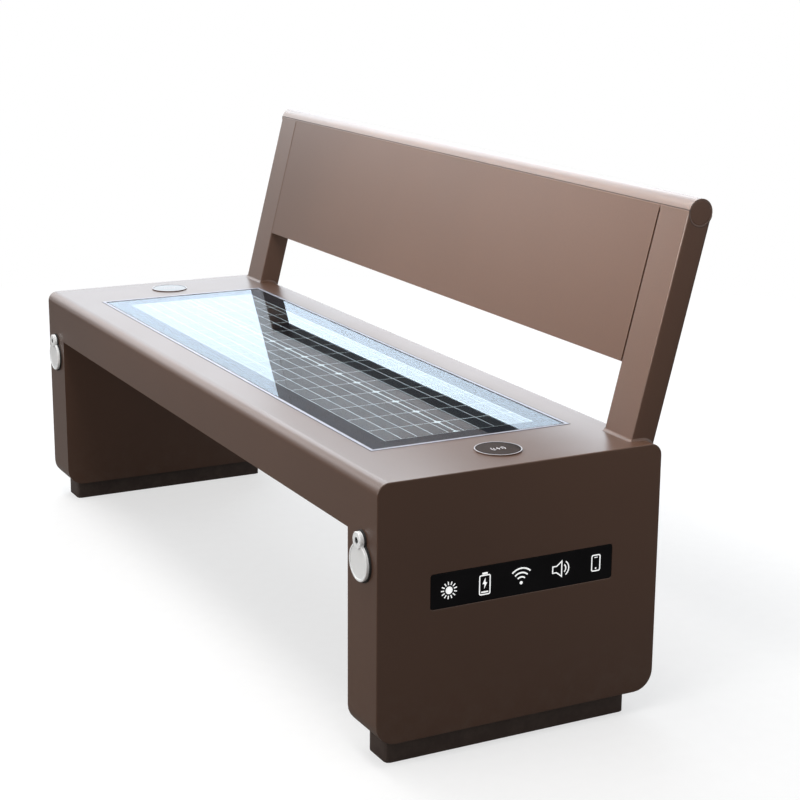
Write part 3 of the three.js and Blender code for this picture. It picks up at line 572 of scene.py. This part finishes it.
# Rings of a screw's round head, from its seat up, as shares of its radius and height
HEAD_SHARES = ((1.0, 0.0), (1.0, 0.3), (0.93, 0.62), (0.76, 0.9))
SOCKET_RIM_SHARE = 1.12
SHANK_SHARE = 0.6


def add_screw(bm, origin, axis, radius, height, socket, depth, shank=0.0):
    """A round-headed screw with a hexagon socket, standing on origin along axis."""
    turn = Vector(axis).to_track_quat("Z", "Y").to_matrix()
    half_side = math.pi / 6

    def ring(reach, level, six=False):
        points = []
        for k in range(SCREW_SIDES):
            angle = 2 * math.pi * k / SCREW_SIDES
            inside = angle % (2 * half_side) - half_side
            share = math.cos(half_side) / math.cos(inside) if six else 1.0
            point = Vector((reach * share * math.cos(angle), reach * share * math.sin(angle), level))
            points.append(bm.verts.new(Vector(origin) + turn @ point))
        return points

    rings = []
    if shank:
        rings += [ring(radius * SHANK_SHARE, level) for level in (-shank, 0.0)]
    rings += [ring(radius * across, height * up) for across, up in HEAD_SHARES]
    rings += [
        ring(socket * SOCKET_RIM_SHARE, height),
        ring(socket, height, six=True),
        ring(socket, height - depth, six=True),
    ]
    join_rings(bm, rings)


def add_tube(bm, path, radius, count=8):
    """A closed round bead along a path of points in metres."""
    rings = []
    last = len(path) - 1
    for i, point in enumerate(path):
        ahead = (path[min(i + 1, last)] - path[max(i - 1, 0)]).normalized()
        side = ahead.cross(Vector((0.3, 0.5, 0.81))).normalized()
        up = ahead.cross(side)
        rings.append([
            bm.verts.new(point + radius * (math.cos(a) * side + math.sin(a) * up))
            for a in (2 * math.pi * k / count for k in range(count))
        ])
    join_rings(bm, rings)


# Modifiers on the CAD nodes

WELD_GAP = 0.02 * MM
BEVEL_ANGLE = math.radians(40)
SMOOTH_ANGLE = math.radians(32)


def new_group(name):
    """A group of geometry nodes, its tree and the geometry that comes in."""
    group = bpy.data.node_groups.new(name, "GeometryNodeTree")
    for way in ("INPUT", "OUTPUT"):
        group.interface.new_socket("Geometry", in_out=way, socket_type="NodeSocketGeometry")
    t = Tree(group)
    return group, t, t.add("NodeGroupInput").outputs[0]


def edge_weight_group(inner_x):
    """Marks the sharp edges beyond inner_x on either side for a weighted bevel."""
    group, t, geometry = new_group("outer_edges")
    angle = t.add("GeometryNodeInputMeshEdgeAngle").outputs[0]
    x = t.split(t.add("GeometryNodeInputPosition").outputs[0])[0]
    far = t.math("GREATER_THAN", t.math("ABSOLUTE", x), inner_x)
    sharp = t.math("GREATER_THAN", angle, BEVEL_ANGLE)
    store = t.add("GeometryNodeStoreNamedAttribute", {
        "Geometry": geometry, "Name": "bevel_weight_edge", "Value": t.math("MULTIPLY", far, sharp),
    }, data_type="FLOAT", domain="EDGE")
    t.put(t.add("NodeGroupOutput").inputs[0], store.outputs[0])
    return group


def smooth_group(limit):
    """Smooth faces, with edges sharper than the limit kept sharp."""
    group, t, geometry = new_group("smooth_faces")
    angle = t.add("GeometryNodeInputMeshEdgeAngle").outputs[0]
    sharp = t.add("FunctionNodeCompare", {0: angle, 1: limit}, operation="GREATER_THAN")
    normal = t.add("GeometryNodeSetMeshNormal", mode="SHARPNESS")
    t.put(normal.inputs["Mesh"], geometry)
    t.put(normal.inputs["Remove Custom"], True)
    t.put(normal.inputs["Edge Sharpness"], sharp.outputs[0])
    t.put(t.add("NodeGroupOutput").inputs[0], normal.outputs[0])
    return group


outer_edges = edge_weight_group(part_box("end_plate_right")[1].x - 0.5 * MM)
smooth_faces = smooth_group(SMOOTH_ANGLE)


def dress(name, material, bevel=0.0, outer_only=False, segments=2):
    """A CAD node's finish: welded, its edges eased where asked, and shaded smooth."""
    node = nodes[name]
    node.material_slots[0].material = material
    node.modifiers.new("weld", "WELD").merge_threshold = WELD_GAP
    if bevel and outer_only:
        node.modifiers.new("outer_edges", "NODES").node_group = outer_edges
    if bevel:
        ease = node.modifiers.new("bevel", "BEVEL")
        ease.width = bevel * MM
        ease.segments = segments
        ease.limit_method = "WEIGHT" if outer_only else "ANGLE"
        ease.angle_limit = BEVEL_ANGLE
        ease.use_clamp_overlap = not outer_only
    node.modifiers.new("smooth", "NODES").node_group = smooth_faces
    node.modifiers.new("weighted", "WEIGHTED_NORMAL").keep_sharp = True


# The materials in use

PAINT_DARK = rgb(0.083, 0.0435, 0.0285)
PAINT_LIGHT = rgb(0.096, 0.0505, 0.033)
PAINT_GLOSS = 0.32

paint = powder_coat("bronze_powder_coat", PAINT_DARK, PAINT_LIGHT, PAINT_GLOSS)
flat_paint = powder_coat("flat_powder_coat", PAINT_DARK, PAINT_LIGHT, PAINT_GLOSS, shine=0.34)
# The rail's coat is a lighter copy of the bench's paint: a painted highlight for the light along the
# rail's top.
rail_highlight_paint = powder_coat(
    "rail_highlight_powder_coat", rgb(0.11, 0.063, 0.045), rgb(0.135, 0.08, 0.058), PAINT_GLOSS, shine=1.0)
dark_paint = powder_coat("dark_powder_coat", rgb(0.03, 0.017, 0.013), rgb(0.042, 0.025, 0.019), 0.55)
zinc = plated_steel("zinc_plate", rgb(0.52, 0.53, 0.54), 0.42)
black_steel = plated_steel("black_steel", rgb(0.03, 0.03, 0.032), 0.42)
aluminium = plated_steel("satin_aluminium", rgb(0.32, 0.33, 0.4), 0.4, streak=0.6, metallic=0.25)
tinned = plated_steel("tinned_ribbon", rgb(0.82, 0.83, 0.84), 0.45)
black_plastic = moulded_plastic("black_plastic", rgb(0.014, 0.014, 0.015), 0.42)
acrylic = moulded_plastic(
    "black_acrylic", rgb(0.004, 0.004, 0.005), 0.16, grain=300.0, depth=0.000004, shine=0.12)
white_plastic = moulded_plastic("white_plastic", rgb(0.9, 0.935, 0.95), 0.22, depth=0.000008)
rubber = moulded_plastic("black_rubber", rgb(0.012, 0.012, 0.012), 0.68, grain=600.0)
grey_plastic = moulded_plastic("grey_plastic", rgb(0.1, 0.11, 0.12), 0.5)
battery_wrap = moulded_plastic("battery_wrap", rgb(0.045, 0.095, 0.27), 0.4, grain=240.0)
board = circuit_board("circuit_board")
glass = clear_glass("cover_glass")
backsheet = printed_sheet("white_backsheet", rgb(0.68, 0.7, 0.72), rgb(0.76, 0.78, 0.8))
black_print = printed_sheet("black_print", rgb(0.012, 0.013, 0.017), rgb(0.018, 0.02, 0.026), 0.4)
pad_print = printed_sheet("pad_print", rgb(0.52, 0.51, 0.53), rgb(0.6, 0.59, 0.61))
sign = sign_light("sign_light")


# Finishes of the CAD nodes

def dress_body():
    dress("seat_beam_shell", paint)
    dress("soffit_cover", paint)
    dress("backrest_rail", rail_highlight_paint)
    dress("backrest_panel", flat_paint, bevel=1.0)
    for side in SIDES:
        for name in ("pedestal_wrap", "pedestal_inner_plate", "backrest_post"):
            dress(f"{name}_{side}", paint)
        dress(f"end_plate_{side}", paint, bevel=1.3, outer_only=True, segments=3)
        dress(f"service_cover_{side}", paint, bevel=0.5)
        dress(f"rail_cap_{side}", paint, bevel=0.5)
        dress(f"plinth_{side}", dark_paint, bevel=0.8)
        for name in (f"post_bracket_{side}", f"post_bolt_{side}_1", f"post_bolt_{side}_2"):
            dress(name, zinc)
    for name in ("left", "centre", "right"):
        dress(f"cross_channel_{name}", zinc)


def dress_pads():
    for side in SIDES:
        low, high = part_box(f"charge_pad_{side}")
        centre = tuple((low + high) / 2)
        pad_radius = (high.x - low.x) / 2
        dress(f"charge_pad_{side}", charge_disc(f"pad_face_{side}", centre), bevel=0.4)
        dress(f"charge_pad_ring_{side}", pad_ring(f"pad_ring_{side}", centre, pad_radius), bevel=0.5)
        dress(f"charge_pad_nut_{side}", black_plastic, bevel=0.5)


def dress_sockets():
    for side in SIDES:
        dress(f"socket_base_plate_{side}", rubber, bevel=0.4)
        dress(f"charging_socket_{side}", black_plastic, bevel=0.3)
        dress(f"socket_lock_nut_{side}", black_plastic, bevel=0.5)
        dress(f"socket_cover_{side}", white_plastic)


def dress_equipment():
    for name in ("panel_tray", "battery_strap", "charge_controller"):
        dress(name, zinc)
    for name in ("panel_seal", "panel_lead", "battery_lead"):
        dress(name, rubber)
    for name in ("audio_module", "network_module"):
        dress(name, grey_plastic, bevel=0.8)
    for side in SIDES:
        dress(f"speaker_{side}", black_plastic)
    dress("panel_cell_sheet", backsheet)
    dress("panel_trim_frame", aluminium, bevel=0.5)
    dress("panel_junction_box", black_plastic, bevel=1.0)
    dress("display_window", acrylic, bevel=0.4)
    dress("display_board", board)
    dress("battery_pack", battery_wrap, bevel=1.5)


# Solar panel: its printed layers sit close under the glass's face, where refraction shows them

CELL_LEFT = -587.0
CELL_RIGHT = 597.0
CELL_FRONT = 117.0
CELL_REAR = 390.0
CELL_PITCH = 74.4
COLUMN_LINE = 531.0
ROW_LINE = 247.0
CELL_GAP = 2.0
ROW_GAP = 3.0
CORNER_CUT = 5.5
EDGE_LINE = 1.8

RIBBON_WIDTH = 1.1
RIBBON_START = 14.2
RIBBON_PITCH = 28.5
RIBBONS_PER_ROW = 5
RIBBON_INSET = 3.0
RIBBON_EDGE = 2.0

# Depths under the glass's face: a layer's lower and upper side
PANE_THICKNESS = 0.5
PANE_BEVEL = 0.2
BORDER_DEPTHS = (0.66, 0.58)
RIBBON_DEPTHS = (0.85, 0.7)
CELL_DEPTHS = (0.92, 0.78)
LAMINATE_DEPTH = 1.0
LAYER_FIT = 0.1

glass_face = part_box("panel_glass")[1].z / MM
sheet_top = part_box("panel_cell_sheet")[1].z / MM


def cell_columns():
    """Left and right edges of the cell columns, from the right end to the left."""
    edges = [CELL_RIGHT - EDGE_LINE + CELL_GAP / 2]
    line = COLUMN_LINE
    while line > CELL_LEFT + CELL_PITCH / 2:
        edges.append(line)
        line -= CELL_PITCH
    edges.append(CELL_LEFT + EDGE_LINE - CELL_GAP / 2)
    return [(b + CELL_GAP / 2, a - CELL_GAP / 2) for a, b in zip(edges, edges[1:])]


def cell_outlines():
    """Cells of both rows, with their corners cut beside the line between the rows."""
    cut = CORNER_CUT
    outlines = []
    for x0, x1 in cell_columns():
        for outer, inner, way in (
            (CELL_FRONT + EDGE_LINE, ROW_LINE - ROW_GAP / 2, 1),
            (CELL_REAR - EDGE_LINE, ROW_LINE + ROW_GAP / 2, -1),
        ):
            outlines.append([(x0, outer), (x1, outer), (x1, inner - way * cut), (x1 - cut, inner),
                             (x0 + cut, inner), (x0, inner - way * cut)])
    return outlines


def ribbon_outlines():
    """Thin ribbons along both rows, as many as the cells have room for."""
    outlines = []
    for k in range(RIBBONS_PER_ROW):
        for way in (-1, 1):
            y = ROW_LINE + way * (RIBBON_START + RIBBON_PITCH * k)
            if CELL_FRONT + RIBBON_EDGE < y < CELL_REAR - RIBBON_EDGE:
                outlines.append(rectangle(CELL_LEFT + RIBBON_INSET, CELL_RIGHT - RIBBON_INSET,
                                          y - RIBBON_WIDTH / 2, y + RIBBON_WIDTH / 2))
    return outlines


def add_layer(name, outlines, depths, material, slot):
    """A layer between two depths under the glass's face."""
    return make_flat_piece(name, outlines, glass_face - depths[0], glass_face - depths[1], material, slot)


def add_pane():
    """A thin pane in place of the whole glass, so that the layers can lie close under its face."""
    outline = rectangle(*flat_limits("panel_glass"))
    pane = make_flat_piece("solar_glass", [outline], glass_face - PANE_THICKNESS, glass_face,
                           glass, "glass", replaces=("panel_glass",))
    ease = pane.modifiers.new("bevel", "BEVEL")
    ease.width = PANE_BEVEL * MM
    ease.segments = 2


def add_solar_panel():
    inside = grown(flat_limits("panel_glass"), -LAYER_FIT)
    laminate = make_flat_piece("panel_laminate", [rectangle(*inside)], sheet_top + LAYER_FIT,
                               glass_face - LAMINATE_DEPTH, backsheet, "cells")
    border = frame_strips(inside, (CELL_LEFT, CELL_RIGHT, CELL_FRONT, CELL_REAR))
    add_layer("panel_black_border", border, BORDER_DEPTHS, black_print, "cells")
    add_pane()
    silicon = solar_cell("solar_cell", CELL_PITCH * MM, COLUMN_LINE * MM, place(0, ROW_LINE, 0).y)
    cells = add_layer("solar_cells", cell_outlines(), CELL_DEPTHS, silicon, "cells")
    ribbons = add_layer("cell_ribbons", ribbon_outlines(), RIBBON_DEPTHS, tinned, "silver_trim")
    # Of the panel's layers only the glass mirrors this lamp: with the cells too, its sky would clip.
    spare_from_lamp("rear_sky", (laminate, cells, ribbons))


# Signs of the status display and of the charging pads, drawn in millimetres

SIGN_LINE = 1.9
SIGN_SUNK = 0.3
SIGN_PROUD = 0.08
PAD_SIGN_SUNK = 0.2
PAD_SIGN_PROUD = 0.06


def sun_sign(y, z):
    shapes = [disc(y, z, 6.0, 24)]
    rays = 13
    for k in range(rays):
        angle = 2 * math.pi * (k + 0.5) / rays
        ray = [(y + r * math.cos(angle), z + r * math.sin(angle)) for r in (8.7, 14.0)]
        shapes += stroke(ray, 1.8)
    return shapes


def bolt_shape(y, z, scale):
    upper = [(0.9, 9.0), (-4.2, -1.1), (-0.4, -1.1), (1.2, 1.3)]
    lower = [(-1.2, -9.0), (4.2, 1.3), (0.4, 1.3), (-0.6, -1.1)]
    return [[(y + a * scale, z + b * scale) for a, b in half] for half in (upper, lower)]


def battery_sign(y, z):
    shapes = stroke(rounded(y - 9.2, y + 9.2, z - 17.3, z + 13.6, 2.4, 3), SIGN_LINE, closed=True)
    shapes.append(rectangle(y - 4.6, y + 4.6, z + 15.2, z + 18.2))
    shapes.append(rectangle(y - 6.2, y + 6.2, z - 14.6, z - 12.2))
    return shapes + bolt_shape(y, z + 0.6, 1.0)


def signal_sign(y, z):
    shapes = [disc(y, z, 2.7, 16)]
    for radius, reach in ((9.5, 42), (16.5, 43), (23.8, 43)):
        shapes += stroke(arc(y, z, radius, 90 - reach, 90 + reach, 14), 2.4)
    return shapes


def speaker_sign(y, z):
    cone = [(y - 15, z - 5.2), (y - 15, z + 5.2), (y - 8, z + 5.2),
            (y + 1.5, z + 12.5), (y + 1.5, z - 12.5), (y - 8, z - 5.2)]
    shapes = stroke(cone, SIGN_LINE, closed=True)
    for radius, reach in ((7.5, 52), (13.0, 56)):
        shapes += stroke(arc(y + 1.5, z, radius, -reach, reach, 12), SIGN_LINE)
    return shapes


def phone_sign(y, z):
    shapes = stroke(rounded(y - 7.6, y + 7.6, z - 13, z + 13, 2.6, 3), SIGN_LINE, closed=True)
    shapes.append(rectangle(y - 3.0, y + 3.0, z + 8.6, z + 9.9))
    return shapes + [disc(y, z - 8.8, 1.5, 12)]


def add_signs():
    """The five signs, as thin lit shapes set into the display window's face."""
    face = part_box("display_window")[1].x / MM
    for name, shapes in (
        ("sign_sun", sun_sign(122.5, 273)),
        ("sign_battery", battery_sign(185, 273.5)),
        ("sign_signal", signal_sign(250, 264.3)),
        ("sign_speaker", speaker_sign(322, 275.5)),
        ("sign_phone", phone_sign(387, 275)),
    ):
        bm = bmesh.new()
        for shape in shapes:
            add_prism(bm, shape, lambda y, z: place(face - SIGN_SUNK, y, z),
                      lambda y, z: place(face + SIGN_PROUD, y, z))
        make_piece(name, bm, sign, "white_plastic")


def pad_sign():
    """A bolt between two pairs of arcs, about its own middle."""
    shapes = bolt_shape(0, 0, 0.8)
    for radius in (7.2, 11.4):
        for start in (-38, 142):
            shapes += stroke(arc(0, 0, radius, start, start + 76, 10), 1.6)
    return shapes


def add_pad_signs():
    """A small charging sign on each pad, its foot towards the bench's end."""
    for side, way in SIDES.items():
        x0, x1, y0, y1 = flat_limits(f"charge_pad_{side}")
        x, y = (x0 + x1) / 2, (y0 + y1) / 2
        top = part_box(f"charge_pad_{side}")[1].z / MM
        turned = [[(x - v * way, y + u * way) for u, v in shape] for shape in pad_sign()]
        make_flat_piece(f"pad_sign_{side}", turned, top - PAD_SIGN_SUNK, top + PAD_SIGN_PROUD,
                        pad_print, "white_plastic")


# Small screws, each with the radius and height of its head and its socket's reach and depth

SERVICE_SCREW = {"radius": 4.2 * MM, "height": 2.3 * MM, "socket": 1.7 * MM, "depth": 1.5 * MM}
SOFFIT_SCREW = {"radius": 4.0 * MM, "height": 1.6 * MM, "socket": 1.5 * MM, "depth": 1.1 * MM}
PIVOT_SCREW = {"radius": 5.0 * MM, "height": 2.4 * MM, "socket": 2.5 * MM, "depth": 1.9 * MM}
SERVICE_INSET = 7.5 * MM
SOFFIT_INSET = 9.0 * MM
SOFFIT_COLUMNS = 6
SEAT_SINK = 0.1 * MM


def spread(low, high, count):
    """Places at even steps from low to high."""
    return [low + (high - low) * k / (count - 1) for k in range(count)]


def add_service_screws(side):
    low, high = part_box(f"service_cover_{side}")
    bm = bmesh.new()
    for x in spread(low.x + SERVICE_INSET, high.x - SERVICE_INSET, 2):
        for z in spread(low.z + SERVICE_INSET, high.z - SERVICE_INSET, 3):
            add_screw(bm, (x, high.y - SEAT_SINK, z), (0, 1, 0), **SERVICE_SCREW)
    make_piece(f"service_screws_{side}", bm, zinc, "plain_steel", smooth_angle=SCREW_SMOOTH)


def add_pivot_screw(side):
    """The CAD screw's form with a socket cut into its head."""
    low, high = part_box(f"socket_pivot_screw_{side}")
    origin = ((low.x + high.x) / 2, low.y + PIVOT_SCREW["height"], (low.z + high.z) / 2)
    bm = bmesh.new()
    add_screw(bm, origin, (0, -1, 0), shank=high.y - origin[1], **PIVOT_SCREW)
    make_piece(f"pivot_screw_{side}", bm, black_steel, "plain_steel",
               replaces=(f"socket_pivot_screw_{side}",), smooth_angle=SCREW_SMOOTH)


def add_soffit_screws():
    low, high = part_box("soffit_cover")
    bm = bmesh.new()
    for x in spread(low.x + SOFFIT_INSET, high.x - SOFFIT_INSET, SOFFIT_COLUMNS):
        for y in (low.y + SOFFIT_INSET, high.y - SOFFIT_INSET):
            add_screw(bm, (x, y, low.z + SEAT_SINK), (0, 0, -1), **SOFFIT_SCREW)
    make_piece("soffit_screws", bm, zinc, "plain_steel", smooth_angle=SCREW_SMOOTH)


def add_screws():
    for side in SIDES:
        add_service_screws(side)
        add_pivot_screw(side)
    add_soffit_screws()


# The leaning backrest: places across and up its lean, worked out from the round rail's box

LEAN = math.radians(14.4)
RAIL_RADIUS = 22.5 * MM
SEAT_BEND = 20.0
seat_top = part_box("seat_beam_shell")[1].z / MM
body_depth = flat_limits("end_plate_right")[3]


def lean_place(y, z):
    """Across and up the lean, of a point given by its Y and Z in metres."""
    return y * math.cos(LEAN) - z * math.sin(LEAN), y * math.sin(LEAN) + z * math.cos(LEAN)


def leaning(x, across, up):
    """A point in metres from its place across and up the leaning backrest."""
    return Vector((x, across * math.cos(LEAN) + up * math.sin(LEAN),
                   up * math.cos(LEAN) - across * math.sin(LEAN)))


rail_low, rail_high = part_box("backrest_rail")
rail_across, rail_up = lean_place((rail_low.y + rail_high.y) / 2, (rail_low.z + rail_high.z) / 2)
post_front = rail_across - RAIL_RADIUS
post_rear = rail_across + RAIL_RADIUS
# Where the post's front face meets the seat's top, in place's Y
foot_front = ((post_front + seat_top * MM * math.sin(LEAN)) / math.cos(LEAN) - front_face) / MM


# Painted weld fillets round the feet of the posts

POST_LEG = 5.0
SEAT_LEG = 4.5
WELD_SUNK = 0.3
LEAST_LEG = 0.2
MIDDLE_ROOT_SHARE = 0.46
MIDDLE_LEG_SHARE = 0.27
BEND_ANGLES = (12, 24, 36, 48, 60, 75, 90)
QUARTER_STEPS = 4


def weld_section(x, y, z, leg_y, leg_z, reach, out_x, out_y):
    """Root, leg on the post, middle and leg on the seat, for one place round the foot."""
    root = (x - out_x * WELD_SUNK, y - out_y * WELD_SUNK, z - WELD_SUNK)
    post = (root[0], root[1] + leg_y * reach, z + leg_z * reach)
    seat = (x + out_x * SEAT_LEG, y + out_y * SEAT_LEG, z - WELD_SUNK)
    middle = tuple(root[k] * MIDDLE_ROOT_SHARE + (post[k] + seat[k]) * MIDDLE_LEG_SHARE for k in range(3))
    return [place(*point) for point in (root, post, middle, seat)]


def leg_length(y, z, along_y, along_z):
    """How far a leg can run from a point of the bend before it leaves the post's side."""
    start = place(0, y, z)
    across, _ = lean_place(start.y, start.z)
    speed, _ = lean_place(along_y, along_z)
    if speed <= 0:
        return POST_LEG
    return max(LEAST_LEG, min(POST_LEG, (post_rear - across) / MM / speed))


def bend_sections(x, out_x):
    """Sections beside the post, from the rear of the seat's bend up to its top."""
    sections = []
    for degrees in BEND_ANGLES:
        leg_y, leg_z = math.cos(math.radians(degrees)), math.sin(math.radians(degrees))
        y = body_depth - SEAT_BEND + SEAT_BEND * leg_y
        z = seat_top - SEAT_BEND + SEAT_BEND * leg_z
        reach = leg_length(y, z, leg_y, leg_z)
        sections.append(weld_section(x, y, z, leg_y, leg_z, reach, out_x, 0))
    return sections


def corner_sections(x, start):
    """Sections round one of the post's front corners, through a quarter turn from start."""
    sections = []
    for k in range(QUARTER_STEPS + 1):
        turn = math.radians(start + 90 * k / QUARTER_STEPS)
        sections.append(weld_section(x, foot_front, seat_top, math.sin(LEAN), math.cos(LEAN), POST_LEG,
                                     math.cos(turn), math.sin(turn)))
    return sections


def add_post_welds():
    for side in SIDES:
        x0, x1, _, _ = flat_limits(f"backrest_post_{side}")
        sections = bend_sections(x0, -1) + corner_sections(x0, 180)
        sections += corner_sections(x1, 270) + bend_sections(x1, 1)[::-1]
        bm = bmesh.new()
        join_rings(bm, [[bm.verts.new(point) for point in section] for section in sections])
        make_piece(f"post_weld_{side}", bm, paint, "paint", smooth_angle=BEAD_SMOOTH)


# Dark beads at the joints of the backrest and round the solar panel's trim: painted shade in the creases
# and gaps

RAIL_BEAD = 0.7 * MM
RAIL_BEAD_PROUD = 0.15 * MM
CAP_BEAD = 0.5 * MM
PANEL_END_FIT = 0.1 * MM
CAP_STEPS = 18
TRIM_JOINT = 1.3
GLASS_JOINT = 1.5
JOINT_SINK = 0.1
TRIM_JOINT_PROUD = 0.2
GLASS_JOINT_PROUD = 0.3


def add_backrest_joint_shade():
    """Dark beads of painted shade between the rail and what it rests on, and round the lower half of the
    rail's ends.
    """
    end = rail_high.x
    post_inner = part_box("backrest_post_right")[0].x - RAIL_BEAD
    panel_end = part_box("backrest_panel")[1].x - PANEL_END_FIT
    bm = bmesh.new()
    for x0, x1 in ((-end, -post_inner), (-panel_end, panel_end), (post_inner, end)):
        add_tube(bm, [leaning(x, post_front + RAIL_BEAD_PROUD, rail_up) for x in (x0, x1)], RAIL_BEAD)
    for x in (-end, end):
        path = [
            leaning(x, rail_across + RAIL_RADIUS * math.cos(a), rail_up + RAIL_RADIUS * math.sin(a))
            for a in (math.pi * (1 + k / CAP_STEPS) for k in range(CAP_STEPS + 1))
        ]
        add_tube(bm, path, CAP_BEAD)
    make_piece("backrest_joints", bm, dark_paint, "dark_paint", smooth_angle=BEAD_SMOOTH)


def add_trim_joint_shade():
    """A dark line of painted shade round the outside of the trim frame, and one along the glass's edge.
    """
    trim = flat_limits("panel_trim_frame")
    pane = flat_limits("panel_glass")
    bm = bmesh.new()
    for outer, inner, proud in (
        (grown(trim, TRIM_JOINT), trim, TRIM_JOINT_PROUD),
        (pane, grown(pane, -GLASS_JOINT), GLASS_JOINT_PROUD),
    ):
        for strip in frame_strips(outer, inner):
            add_flat(bm, strip, seat_top - JOINT_SINK, seat_top + proud)
    make_piece("trim_joints", bm, rubber, "rubber")


# The scene

add_camera()
add_world()
add_lamps()
add_floor()
dress_body()
dress_pads()
dress_sockets()
dress_equipment()
add_solar_panel()
add_signs()
add_pad_signs()
add_screws()
add_post_welds()
add_backrest_joint_shade()
add_trim_joint_shade()

bpy.context.scene.view_settings.view_transform = "Standard"
